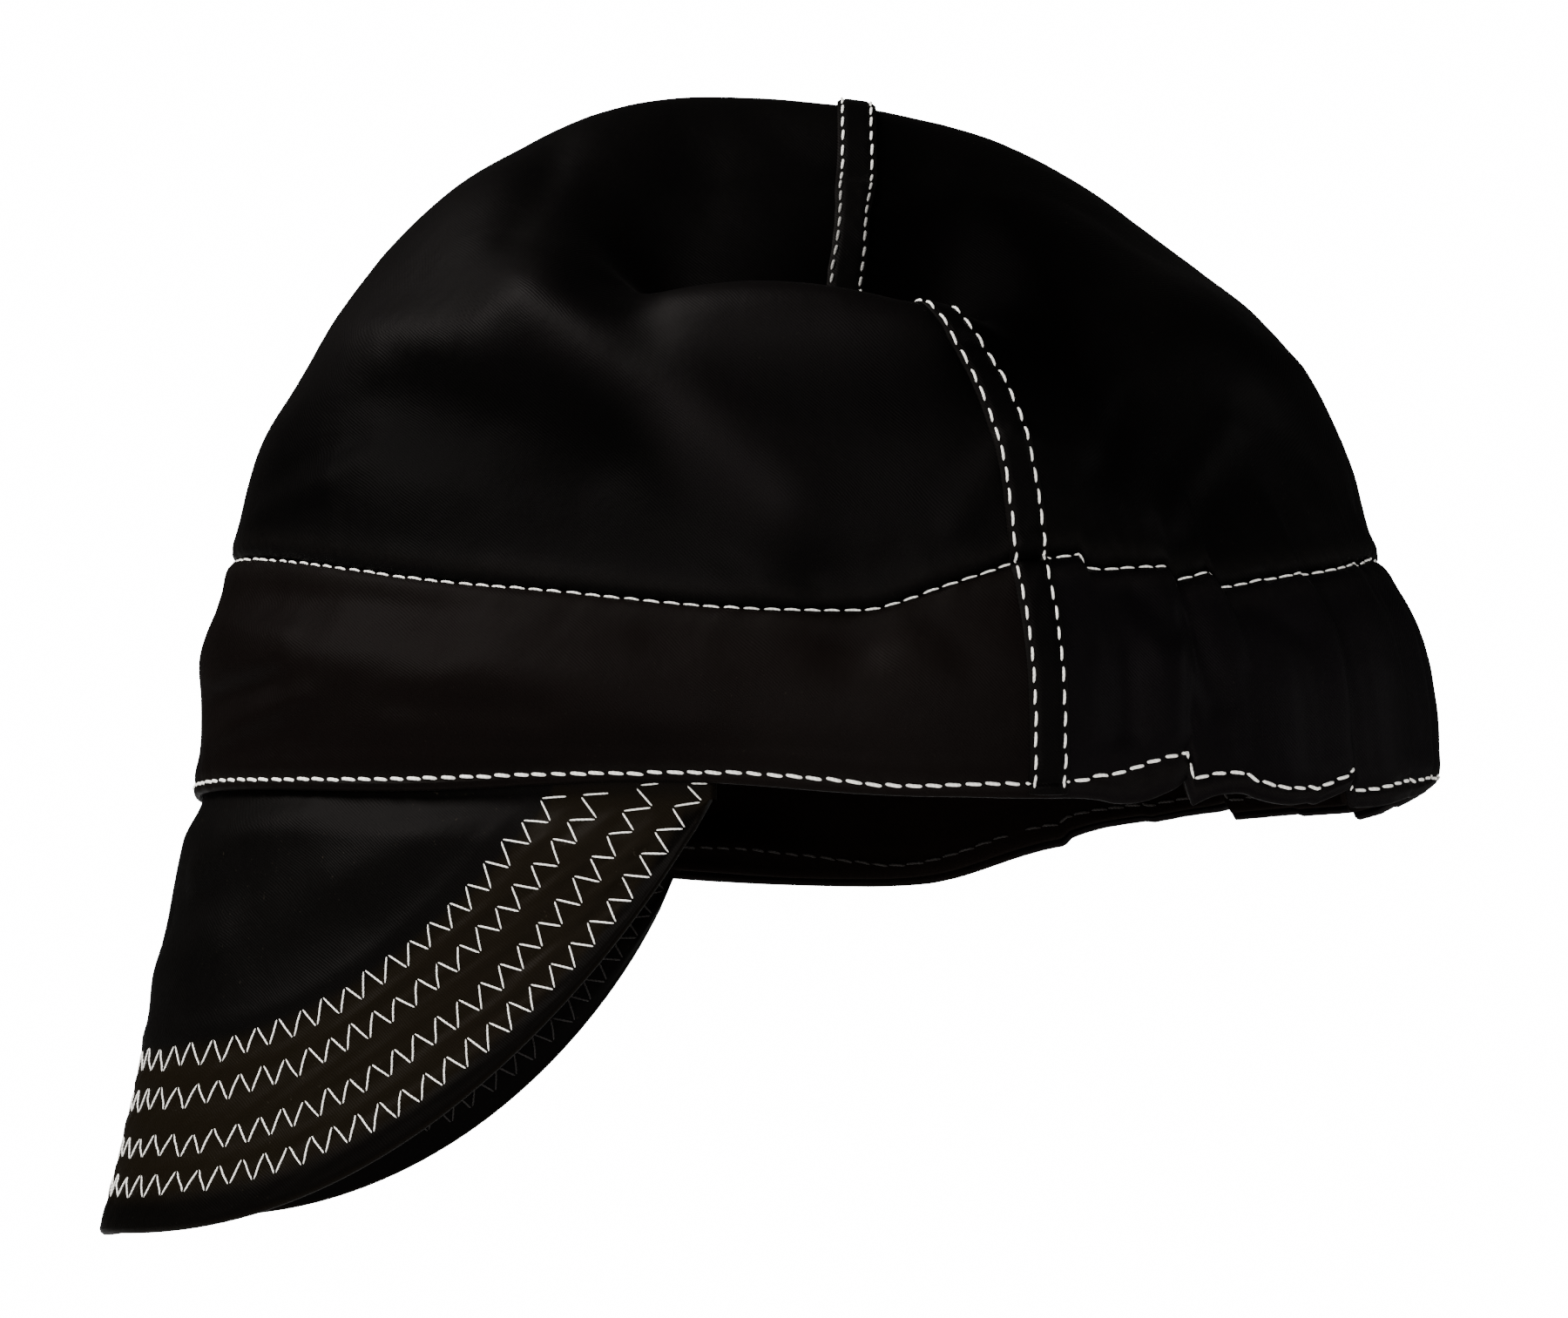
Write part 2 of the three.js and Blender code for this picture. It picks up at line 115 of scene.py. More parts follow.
# Band sections from the hem to the casing seam: reaches are shares of half the length or width, and rises are
# shares of the casing seam's height.
BandRow = namedtuple("BandRow", "rise front side rear")
BAND_ROWS = [
    BandRow(0.0, 1.000, 0.980, 1.003),
    BandRow(0.2, 0.991, 1.015, 1.004),
    BandRow(0.4, 0.993, 1.035, 1.000),
    BandRow(0.6, 0.996, 1.040, 0.988),
    BandRow(0.8, 0.969, 1.015, 0.961),
    BandRow(1.0, 0.945, 0.986, 0.911),
]

# Crown sections from the casing seam to the top: reaches as above, rises as shares of the height from the
# casing seam to the top, and the angle from the front where the ear-to-ear seam crosses.
CrownRow = namedtuple("CrownRow", "front front_rise side side_rise rear rear_rise seam")
CROWN_ROWS = [
    CrownRow(0.945, 0.000, 0.986, 0.000, 0.911, 0.000, 107.5),
    CrownRow(0.902, 0.226, 1.010, 0.169, 0.867, 0.195, 107.2),
    CrownRow(0.819, 0.437, 1.000, 0.338, 0.800, 0.382, 105.8),
    CrownRow(0.721, 0.634, 0.950, 0.500, 0.704, 0.536, 102),
    CrownRow(0.602, 0.805, 0.840, 0.665, 0.589, 0.664, 96.8),
    CrownRow(0.452, 0.930, 0.690, 0.805, 0.471, 0.788, 88),
    CrownRow(0.287, 1.012, 0.530, 0.918, 0.345, 0.893, 88.5),
    CrownRow(0.111, 1.027, 0.300, 0.984, 0.207, 0.969, 90),
]

# How far the hem and the casing seam have risen from the side's level to the rear's, evenly apart from the
# side to the rear, on the near, left side and on the far, right side.
RearLevel = namedtuple("RearLevel", "hem casing far_hem far_casing")
REAR_LEVELS = [
    RearLevel(0.00, 0.00, 0.00, 0.00),
    RearLevel(0.02, 0.24, 0.10, 0.17),
    RearLevel(0.06, 0.52, 0.62, 0.47),
    RearLevel(0.40, 0.53, 1.00, 0.79),
    RearLevel(0.50, 0.47, 1.20, 0.98),
    RearLevel(0.28, 0.47, 1.26, 1.00),
    RearLevel(0.36, 0.59, 1.15, 1.00),
    RearLevel(0.56, 0.71, 1.02, 1.00),
    RearLevel(0.72, 0.85, 1.04, 1.00),
    RearLevel(0.96, 0.95, 1.10, 1.00),
    RearLevel(1.14, 1.00, 1.14, 1.00),
]

# Dents and soft ridges along short lines seen from the side: back is a share of half the length, up of the
# crown's height, spread of half the length, push and sink of half the width. A higher edge is crisper.
LEFT, RIGHT = 1, -1
Fold = namedtuple("Fold", "side back up to_back to_up spread push sink edge", defaults=(0, 2))
MAIN_FOLDS = [
    Fold(LEFT, -0.17, 0.87, 0.10, 0.85, 0.175, -0.06, 0.26, 3),
    Fold(LEFT, -0.38, 0.84, -0.28, 0.76, 0.120, -0.04, 0.04),
    Fold(LEFT, -0.34, 0.68, -0.26, 0.58, 0.070, -0.035),
    Fold(LEFT, 0.26, 0.74, 0.62, 0.42, 0.140, -0.09, 0.04),
    Fold(LEFT, -0.20, 0.61, 0.18, 0.62, 0.090, 0.06),
    Fold(LEFT, -0.43, 0.64, -0.06, 0.34, 0.085, 0.055),
    Fold(LEFT, 0.22, 0.86, 0.40, 0.76, 0.200, -0.02, 0.07),
    Fold(LEFT, -0.62, 0.50, -0.36, 0.42, 0.110, -0.05),
    Fold(LEFT, -0.72, 0.62, -0.54, 0.58, 0.060, 0.03),
    Fold(LEFT, -0.86, 0.26, -0.60, 0.19, 0.070, -0.03),
    Fold(LEFT, -0.55, 0.10, -0.20, 0.04, 0.080, 0.03),
    Fold(LEFT, 0.00, 0.22, 0.05, 0.14, 0.060, -0.035),
    Fold(RIGHT, -0.20, 0.90, 0.12, 0.88, 0.180, -0.04, 0.13),
    Fold(RIGHT, -0.42, 0.74, -0.02, 0.46, 0.080, 0.05),
    Fold(RIGHT, 0.24, 0.72, 0.56, 0.44, 0.130, -0.07, 0.03),
    Fold(RIGHT, -0.66, 0.46, -0.40, 0.50, 0.100, -0.04),
    Fold(RIGHT, -0.50, 0.16, -0.10, 0.08, 0.080, 0.025),
]

# Finer creases of the same form, too small for the solids.
FINE_FOLDS = [
    Fold(LEFT, -0.49, 0.77, -0.42, 0.95, 0.030, -0.014),
    Fold(LEFT, -0.78, 0.70, -0.52, 0.88, 0.060, 0.012),
    Fold(LEFT, -0.86, 0.52, -0.70, 0.57, 0.030, 0.010),
    Fold(LEFT, -0.88, 0.43, -0.74, 0.47, 0.028, -0.009),
    Fold(LEFT, -0.92, 0.38, -0.78, 0.41, 0.026, 0.009),
    Fold(LEFT, -0.99, 0.12, -0.86, 0.13, 0.022, -0.016),
    Fold(LEFT, -0.97, 0.06, -0.80, 0.10, 0.024, 0.013),
    Fold(LEFT, -0.97, 0.24, -0.84, 0.20, 0.026, 0.009),
    Fold(LEFT, -0.74, 0.21, -0.30, 0.15, 0.030, 0.010),
    Fold(LEFT, -0.66, 0.08, -0.42, 0.05, 0.024, -0.009),
    Fold(LEFT, -0.14, 0.25, 0.02, 0.17, 0.026, 0.010),
    Fold(LEFT, 0.10, 0.24, 0.22, 0.12, 0.034, -0.010),
    Fold(LEFT, 0.20, 0.30, 0.30, 0.44, 0.030, 0.010),
    Fold(LEFT, 0.44, 0.40, 0.52, 0.56, 0.030, -0.010),
    Fold(LEFT, 0.56, 0.34, 0.66, 0.50, 0.028, 0.010),
    Fold(LEFT, 0.78, 0.60, 0.90, 0.50, 0.030, 0.012),
    Fold(LEFT, 0.70, 0.52, 0.86, 0.40, 0.036, -0.010),
    Fold(LEFT, 0.47, 0.14, 0.47, 0.04, 0.036, -0.018),
    Fold(LEFT, 0.475, 0.24, 0.54, 0.16, 0.022, -0.012),
    Fold(LEFT, 0.574, 0.18, 0.62, 0.087, 0.026, -0.014),
    Fold(LEFT, 0.666, 0.23, 0.751, 0.186, 0.022, -0.012),
    Fold(RIGHT, -0.84, 0.50, -0.64, 0.56, 0.032, 0.012),
    Fold(RIGHT, -0.90, 0.40, -0.72, 0.43, 0.028, -0.010),
    Fold(RIGHT, -0.70, 0.80, -0.46, 0.62, 0.050, 0.014),
    Fold(RIGHT, -0.98, 0.10, -0.80, 0.14, 0.026, -0.013),
    Fold(RIGHT, -0.72, 0.22, -0.26, 0.17, 0.032, 0.011),
    Fold(RIGHT, -0.30, 0.10, 0.04, 0.05, 0.026, -0.010),
    Fold(RIGHT, 0.16, 0.32, 0.30, 0.48, 0.032, 0.012),
    Fold(RIGHT, 0.48, 0.36, 0.60, 0.54, 0.030, -0.011),
    Fold(RIGHT, 0.72, 0.60, 0.88, 0.44, 0.034, 0.012),
]

# Painted light on the crown: patches with a painted highlight, paler (push), or painted shade, darker and
# duller (sink), than round about, as folds are given.
PAINTED_LIGHT_PATCHES = [
    Fold(LEFT, -0.80, 0.62, -0.55, 0.90, 0.150, 0.45),
    Fold(LEFT, -0.24, 0.46, -0.09, 0.36, 0.060, 0.35),
    Fold(LEFT, -0.95, 0.42, -0.36, 0.44, 0.210, 0, 0.70, 3),
    Fold(LEFT, 0.22, 0.84, 0.29, 0.68, 0.140, 0, 1.00),
    Fold(LEFT, -0.46, 0.64, -0.42, 0.62, 0.070, 0, 0.45),
    Fold(LEFT, -0.28, 0.60, -0.24, 0.52, 0.050, 0, 0.45),
    Fold(LEFT, -0.10, 0.52, 0.16, 0.52, 0.110, 0, 0.50, 3),
]

# Gathers of the elastic band: where each valley runs, how deep it is, how wide its gentle side is, how crisp
# its other side is, and how far the cloth behind it is dropped at the casing line and at the hem.
Gather = namedtuple("Gather", "angle depth width crisp casing_drop hem_drop")
GATHERS = [
    Gather(113.6, 0.7, 5.0, 0.2, 4.0, 0.2),
    Gather(124.8, 1.5, 4.6, 0.8, 2.5, 5.0),
    Gather(130.8, 0.9, 4.4, 0.4, 3.0, 0.3),
    Gather(138.6, 1.1, 5.0, 0.1, 0.4, 0.4),
    Gather(145.7, 2.6, 5.0, 1.0, 0.4, 4.4),
    Gather(159.0, 0.9, 4.4, 0.2, 0.6, 0.3),
    Gather(168.6, 2.0, 4.6, 0.7, 1.2, 1.0),
    Gather(176.6, 1.1, 4.0, 0.3, 0.6, 0.3),
    Gather(187.2, 2.3, 4.6, 0.8, 1.6, 1.4),
    Gather(197.9, 1.3, 4.4, 0.2, 0.5, 0.3),
    Gather(206.6, 2.5, 4.6, 0.9, 1.5, 2.0),
    Gather(217.0, 1.2, 4.6, 0.2, 0.6, 0.4),
    Gather(226.6, 2.3, 4.8, 0.8, 2.2, 2.2),
    Gather(237.4, 1.2, 4.6, 0.3, 1.6, 0.4),
    Gather(247.0, 0.9, 4.6, 0.2, 1.6, -2.4),
]

# Soft folds of the smooth part of the peak: angles are shares of the corner's angle, drops of the peak's.
PeakFold = namedtuple("PeakFold", "angle drop to_angle to_drop spread push")
PEAK_FOLDS = [
    PeakFold(0.47, 0.05, 0.22, 0.19, 5.0, 0.9),
    PeakFold(0.74, 0.04, 0.56, 0.20, 5.0, 0.8),
    PeakFold(0.36, 0.22, 0.10, 0.29, 6.0, -0.9),
    PeakFold(0.34, 0.36, 0.08, 0.42, 5.5, 0.8),
    PeakFold(0.60, 0.30, 0.46, 0.40, 5.0, -0.5),
    PeakFold(-0.20, 0.10, -0.44, 0.22, 6.0, 0.7),
    PeakFold(-0.70, 0.05, -0.58, 0.22, 5.0, 0.7),
    PeakFold(-0.10, 0.30, -0.38, 0.34, 6.0, -0.8),
    PeakFold(-0.12, 0.44, -0.40, 0.46, 5.0, 0.6),
]

# Rows of zigzag stitching, outermost first: shares of the peak's corner angle and of its drop.
ZigzagRow = namedtuple("ZigzagRow", "corner drop")
ZIGZAG_ROWS = [
    ZigzagRow(0.977, 0.905),
    ZigzagRow(0.927, 0.820),
    ZigzagRow(0.872, 0.712),
    ZigzagRow(0.822, 0.620),
]
PEAK_EDGE = ZigzagRow(1, 1)

# Mesh fineness
FRONT_COLUMNS = 250
REAR_COLUMNS = 270
BAND_MESH_ROWS = 44
CROWN_MESH_ROWS = 96
FACING_ROWS = 30
PEAK_COLUMNS = 230
PEAK_MESH_ROWS = 84
FELL_COLUMNS = 14
FELL_ROWS = 150
TUCK_ROWS = 8
SEAM_CLEARANCE = 0.6
CROWN_MIDDLE = np.array([0, SEAM_SETBACK, CROWN_HEIGHT / 3])
THREAD_SIDES = 8
THREAD_RINGS = 7
THREAD_TWIST = 0.75
THREAD_SINK = 0.22
PATH_POINTS = 2600

# How much of the fine relief shows on the inner face of a wall and on the facings, how high the broad
# unevenness is, and how much of a gather reaches the casing line.
INNER_CRISP = 0.6
FACING_CRISP = 0.45
BROAD_UNEVENNESS = 0.5
CASING_GATHER = 0.72

random = np.random.default_rng(11)


def smooth(value, low, high):
    share = np.clip((value - low) / (high - low), 0, 1)
    return share * share * (3 - 2 * share)


def bump(value, centre, width):
    return np.exp(-(((value - centre) / width) ** 2))


# A smooth curve through evenly numbered points, as the solids' sections use it.
def spline(points, share):
    table = np.asarray(points, float)
    last = len(table) - 1
    place = np.clip(share, 0, 1) * last
    start = np.minimum(np.floor(place).astype(int), last - 1)
    part = (place - start)[..., None]
    before = table[np.maximum(start - 1, 0)]
    here = table[start]
    there = table[start + 1]
    beyond = table[np.minimum(start + 2, last)]
    leave = (there - before) / 2
    arrive = (beyond - here) / 2
    cubic = (2 * here - 2 * there + leave + arrive) * part**3
    square = (3 * there - 3 * here - 2 * leave - arrive) * part**2
    return cubic + square + leave * part + here


def profile(points, phantom=None):
    table = points + ([phantom] if phantom else [])
    last = (len(points) - 1) / (len(table) - 1)
    return lambda share: spline(table, np.asarray(share) * last)


def crown_points(reach, rise, half, level, height):
    return [(getattr(row, reach) * half, level + getattr(row, rise) * height) for row in CROWN_ROWS]


FRONT_POINTS = crown_points("front", "front_rise", HALF_LENGTH, CASING_HEIGHT, CROWN_RISE)
REAR_POINTS = crown_points("rear", "rear_rise", HALF_LENGTH, CASING_HEIGHT, CROWN_RISE)
SIDE_POINTS = crown_points("side", "side_rise", HALF_WIDTH, SIDE_CASING_LEVEL, SIDE_CROWN_RISE)
(NEXT_REACH, NEXT_RISE) = REAR_POINTS[-1]
(BEFORE_REACH, BEFORE_RISE) = FRONT_POINTS[-1]
(BESIDE_REACH, BESIDE_RISE) = SIDE_POINTS[-1]
TOP_SLOPE = (NEXT_RISE - BEFORE_RISE) / (NEXT_REACH + BEFORE_REACH)

BAND = {
    "front": profile([(row.front * HALF_LENGTH, row.rise * CASING_HEIGHT) for row in BAND_ROWS]),
    "side": profile([
        (row.side * HALF_WIDTH, row.rise * SIDE_CASING_HEIGHT - SIDE_DROP) for row in BAND_ROWS
    ]),
    "rear": profile([(row.rear * HALF_LENGTH, row.rise * CASING_HEIGHT) for row in BAND_ROWS]),
}
CROWN = {
    "front": profile(FRONT_POINTS + [(-SEAM_SETBACK, CROWN_HEIGHT)], (-NEXT_REACH, NEXT_RISE)),
    "side": profile(SIDE_POINTS + [(0, CROWN_HEIGHT)], (-BESIDE_REACH, BESIDE_RISE)),
    "rear": profile(REAR_POINTS + [(SEAM_SETBACK, CROWN_HEIGHT)], (-BEFORE_REACH, BEFORE_RISE)),
}
SEAM_TOP_SHARE = (len(CROWN_ROWS) - 1) / len(CROWN_ROWS)


def seam_angle(share):
    table = [(place, row.seam) for place, row in enumerate(CROWN_ROWS)]
    return spline(table, np.minimum(np.asarray(share) / SEAM_TOP_SHARE, 1))[..., 1]


def from_front(angle):
    return np.abs((angle + 180) % 360 - 180)


def by_side(angle, near, far):
    return np.where(np.asarray(angle) % 360 > 180, far, near)


def rear_weight(column, angle):
    levels = [getattr(row, column) for row in [REAR_LEVELS[1]] + REAR_LEVELS]
    first = 1 / (len(levels) - 1)
    share = np.maximum(first + (from_front(angle) / 90 - 1) * (1 - first), first)
    return spline(list(enumerate(levels)), share)[..., 1]


# How far the level has gone from the side's to the front's or the rear's, at the hem and at the casing seam.
def end_weights(angle):
    front = np.cos(np.radians(angle))
    hem = by_side(angle, rear_weight("hem", angle), rear_weight("far_hem", angle))
    casing = by_side(angle, rear_weight("casing", angle), rear_weight("far_casing", angle))
    return np.where(front >= 0, front**2, hem), np.where(front >= 0, front**2, casing)


def towards_end(sections, angle, share):
    front = np.cos(np.radians(angle))
    hem, casing = end_weights(angle)
    if sections is BAND:
        return hem + (casing - hem) * share
    plain = np.where(front >= 0, front**2, smooth(-front, 0, REAR_LEVEL_SPAN))
    return casing + (plain - casing) * smooth(share, 0, REAR_LEVEL_RISE)


# A point of the plain surface, where the angle runs from the front round the wearer's left.
def base_point(sections, angle, share):
    turn = np.radians(angle)
    front = np.cos(turn)
    ahead = front >= 0
    side = sections["side"](share)
    end = np.where(ahead[..., None], sections["front"](share), sections["rear"](share))
    reach = end[..., 0] + np.where(ahead, SEAM_SETBACK, -SEAM_SETBACK)
    level = side[..., 1] + (end[..., 1] - side[..., 1]) * towards_end(sections, angle, share)
    return np.stack([side[..., 0] * np.sin(turn), SEAM_SETBACK - reach * front, level], axis=-1)


def unit(vectors):
    return vectors / np.maximum(np.linalg.norm(vectors, axis=-1, keepdims=True), 1e-9)


def outward(sections, angle, share, level_to):
    around = base_point(sections, angle + 0.5, share) - base_point(sections, angle - 0.5, share)
    up = base_point(sections, angle, np.minimum(share + 0.01, 1))
    up = up - base_point(sections, angle, np.maximum(share - 0.01, 0))
    normal = unit(np.cross(around, up))
    normal[..., 2] *= level_to
    return unit(normal)


# How far points lie from a short line.
def line_distance(points, start, end):
    start = np.array(start)
    way = np.array(end) - start
    offset = points - start
    share = np.clip(offset @ way / (way @ way), 0, 1)
    return np.linalg.norm(offset - share[..., None] * way, axis=-1)


def fold_move(point, folds):
    push = np.zeros(point.shape[:-1])
    sink = np.zeros(point.shape[:-1])
    for fold in folds:
        start = (fold.back * HALF_LENGTH, fold.up * CROWN_HEIGHT)
        end = (fold.to_back * HALF_LENGTH, fold.to_up * CROWN_HEIGHT)
        away = line_distance(point[..., 1:], start, end) / (fold.spread * HALF_LENGTH)
        amount = HALF_WIDTH * smooth(point[..., 0] * fold.side, 0, HALF_WIDTH * 0.35)
        amount = amount * np.exp(-(away**fold.edge))
        push += fold.push * amount
        sink += fold.sink * amount
    return push, sink


# How far along a path each of its points is, and the points at some places along it.
def path_lengths(path):
    return np.concatenate([[0], np.cumsum(np.linalg.norm(np.diff(path, axis=0), axis=-1))])


def follow(places, lengths, path):
    return np.stack([np.interp(places, lengths, column) for column in path.T], axis=-1)


# Gentle unevenness: a sum of waves in fixed, seeded directions, between two wavelengths.
def make_waver(shortest, longest, count, seed):
    draw = np.random.default_rng(seed)
    directions = unit(draw.normal(size=(count, 3)))
    lengths = np.geomspace(shortest, longest, count)
    phases = draw.uniform(0, 2 * math.pi, count)
    weights = lengths / lengths.sum() * 1.8

    def waver(point):
        total = np.zeros(point.shape[:-1])
        for direction, length, phase, weight in zip(directions, lengths, phases, weights):
            total += weight * np.sin(point @ direction * 2 * math.pi / length + phase)
        return total

    return waver


broad_waver = make_waver(34, 70, 9, 3)
middle_waver = make_waver(12, 26, 12, 4)
small_waver = make_waver(4.5, 9, 14, 5)


# Puckers across a line of stitches: uneven waves along the line.
def pucker(along, lean, seed):
    draw = np.random.default_rng(seed)
    total = np.zeros(np.shape(along))
    for length in (4.1, 5.3, 7.2, 9.7, 13.0):
        total += np.sin(2 * math.pi * (along + lean * draw.uniform(0.1, 0.8)) / length + draw.uniform(0, 6.3))
    return total / 3


# The casing line sways round the front.
def front_casing_lift(angle):
    around = from_front(angle)
    return 1.05 * bump(around, 65, 13) + 0.9 * bump(around, 93, 13) - 0.5 * bump(around, 12, 22)


# The hem's fold droops below its stitches where it bulges between two gathers, and is narrower at the rear.
def hem_droop(angle):
    turn = np.asarray(angle) % 360
    bulges = 3.4 * bump(turn, 117.4, 5.0) - 0.8 * bump(turn, 140, 12) - 0.9 * bump(turn, 238, 9)
    return bulges - 2 * bump(turn, 178, 16) + 1.0 * bump(turn, 265, 24)


# How far the hem's edge sits above its plain level on the near side, below the middle of the temple.
def edge_lift(angle):
    around = from_front(angle)
    return by_side(angle, 3.6 * bump(around, 74, 18) + 0.9 * bump(around, 106, 12), 0)


# How the hem sways between the first gathers.
def hem_sway(angle):
    turn = np.asarray(angle) % 360
    return 1.0 * bump(turn, 145.6, 3.5) - 0.9 * bump(turn, 134, 6)


# How far the row of hem stitches runs above the hem's edge, along the cloth.
def hem_row(angle):
    around = from_front(angle)
    level = HEM_STITCH_HEIGHT + 1.1 * bump(around, 77, 14) - 1.2 * (1 - smooth(around, 28, 62))
    level = level - 1.2 * bump(around, 180, 12) - 0.8 * (1 - smooth(around, 46, 66))
    level = level + 0.3 * bump(around, 80, 6) - 1.0 * bump(around, 94, 6)
    lift = edge_lift(angle)
    return level - lift * (1 - smooth(level - lift, 0, EDGE_LIFT_REACH))


# How far round the first gathers lean from the casing line to the hem.
def gather_lean(angle, share):
    return 2.4 * (1 - share) * bump(np.asarray(angle) % 360, 124, 6)


# The gathers: how far they push the cloth out, how far round its front lip folds over, and how far the
# casing line and the hem are lifted.
def gather_move(angle):
    push = np.zeros(np.shape(angle))
    shift = np.zeros(np.shape(angle))
    knots = [(BAND_SEAM_ANGLE, 0, 0)]
    for gather in GATHERS:
        way = 1 if gather.angle < 180 else -1
        off = (angle - gather.angle) * way / gather.width
        near = np.exp(-np.abs(off / (0.9 - 0.55 * gather.crisp)) ** 1.8)
        push -= gather.depth * np.where(off < 0, near, np.exp(-np.abs(off) ** 1.8))
        lip = gather.depth * gather.crisp * bump(off, -0.5, 0.34)
        push += 0.25 * lip
        shift += way * 0.3 * lip
        for side in (-1, 1):
            half = -side * way / 2
            knots.append((gather.angle + side * 0.45, half * gather.casing_drop, half * gather.hem_drop))
    angles, casing, hem = np.array(knots + [(360 - BAND_SEAM_ANGLE, 0, 0)]).T
    return push, shift, np.interp(angle, angles, casing), np.interp(angle, angles, hem)


def rear_fade(angle):
    from_rear = np.abs(180 - angle % 360)
    span = 180 - BAND_SEAM_ANGLE
    return 1 - smooth(from_rear, span * 0.86, span * 0.985)


def casing_height_at(angle):
    hem, casing = end_weights(angle)
    return SIDE_CASING_HEIGHT + (CASING_HEIGHT - SIDE_CASING_LEVEL) * casing - SIDE_DROP * hem


def corner_angle(angle):
    return by_side(angle, PEAK_CORNER_ANGLE, FAR_CORNER_ANGLE)


# Sewing relief of the band. crisp is 1 on the outer face, and less on what lies inside.
def band_relief(angle, share, crisp):
    height = share * casing_height_at(angle)
    below_casing = (1 - share) * casing_height_at(angle)
    along = angle * BAND_ARC
    over_peak = 1 - smooth(from_front(angle) - corner_angle(angle), -5, 5)
    row = hem_row(angle)
    flat = np.clip(row / HEM_STITCH_HEIGHT, 0.3, 1)
    roll = (0.45 + 0.2 * over_peak) * flat * np.sin(math.pi * np.clip(height / row, 0, 1)) ** 0.8
    hem = roll - 0.55 * flat * bump(height, row, 0.75) + 0.3 * bump(height, row + 2.8, 1.7)
    casing = -0.95 * bump(below_casing, 0, 1.0) + 0.4 * bump(below_casing, 3.0, 1.9)
    near_casing = np.exp(-below_casing / 5.5)
    near_hem = np.exp(-np.abs(height - row) / 3.2)
    casing = casing + 0.24 * near_casing * pucker(along, below_casing, 21)
    hem = hem + 0.2 * near_hem * pucker(along, height, 22)
    return crisp * (hem + casing)


def crown_relief(angle, share, point, crisp):
    above = share * CROWN_CLOTH
    along = angle * CROWN_ARC
    casing = -0.95 * bump(above, 0, 1.0) + 0.5 * bump(above, 3.2, 2.1)
    rear = rear_fade(angle)
    puckers = (0.2 + 0.1 * rear) * np.exp(-above / (6 + 2 * rear)) * pucker(along, above, 23)
    radius = np.hypot(point[..., 0], point[..., 1] - SEAM_SETBACK)
    beside = np.abs(from_front(angle) - seam_angle(share)) * radius * math.pi / 180
    seam = 0.26 * np.exp(-beside / 5) * pucker(above, beside, 24)
    return crisp * (casing + puckers + seam)


# Fine puckers between the gathers.
def rear_pucker(angle, share):
    return 0.07 * pucker(angle * BAND_ARC, share * 9, 25)


def unevenness(point, crisp):
    finer = 0.2 * middle_waver(point) + 0.05 * small_waver(point)
    return BROAD_UNEVENNESS * broad_waver(point) + crisp * finer


def band_point(angle, share, depth=0.0, crisp=1.0):
    angle, share, depth = np.broadcast_arrays(np.asarray(angle, float), share, depth)
    push, shift, casing_lift, hem_lift = gather_move(angle + gather_lean(angle, share))
    fade = rear_fade(angle)
    front_lift = front_casing_lift(angle) * share
    strength = fade * (CASING_GATHER + (1 - CASING_GATHER) * np.sin(math.pi * share))
    turned = angle + shift * fade
    point = base_point(BAND, turned, share)
    normal = outward(BAND, turned, np.maximum(share, LOWEST_SHARE), 0)
    total = fold_move(point, MAIN_FOLDS)[0] + push * strength
    total = total + fold_move(point, FINE_FOLDS)[0] * crisp + band_relief(angle, share, crisp)
    total = total + unevenness(point, crisp) + fade * crisp * rear_pucker(angle, share)
    hem_lift = hem_lift + hem_sway(angle)
    lift = fade * (hem_lift + (casing_lift - hem_lift) * share)
    lift = lift + edge_lift(angle) * (1 - smooth(share * casing_height_at(angle), 0, EDGE_LIFT_REACH))
    hanging = 1 - smooth(share * casing_height_at(angle), 0, HEM_STITCH_HEIGHT)
    point = point + normal * (total - depth + 0.2 * hem_droop(angle) * hanging)[..., None]
    point[..., 2] += lift + front_lift - hem_droop(angle) * hanging
    return point


def crown_point(angle, share, depth=0.0, crisp=1.0):
    angle, share, depth = np.broadcast_arrays(np.asarray(angle, float), share, depth)
    push, shift, casing_lift, _ = gather_move(angle)
    low = 1 - smooth(share, 0, 0.16)
    fade = rear_fade(angle) * low
    turned = angle + shift * fade
    point = base_point(CROWN, turned, share)
    normal = outward(CROWN, turned, np.minimum(share, HIGHEST_SHARE), smooth(share, 0, 0.12))
    calm = 1 - smooth(share, 0.86, 0.99)
    main_push, sink = fold_move(point, MAIN_FOLDS)
    total = main_push * calm + push * CASING_GATHER * fade
    total = total + fold_move(point, FINE_FOLDS)[0] * crisp * calm
    total = total + crown_relief(angle, share, point, crisp) * calm + unevenness(point, crisp) * calm
    total = total + fade * crisp * rear_pucker(angle, share + 1)
    up = np.zeros_like(point)
    up[..., 2] = 1
    top = smooth(share, 0.985, 1)[..., None]
    thick_way = unit(normal * (1 - top) + up * top)
    moved = point + normal * total[..., None] - thick_way * depth[..., None]
    moved[..., 2] += casing_lift * fade + front_casing_lift(angle) * low - sink * calm * smooth(share, 0, 0.2)
    return moved


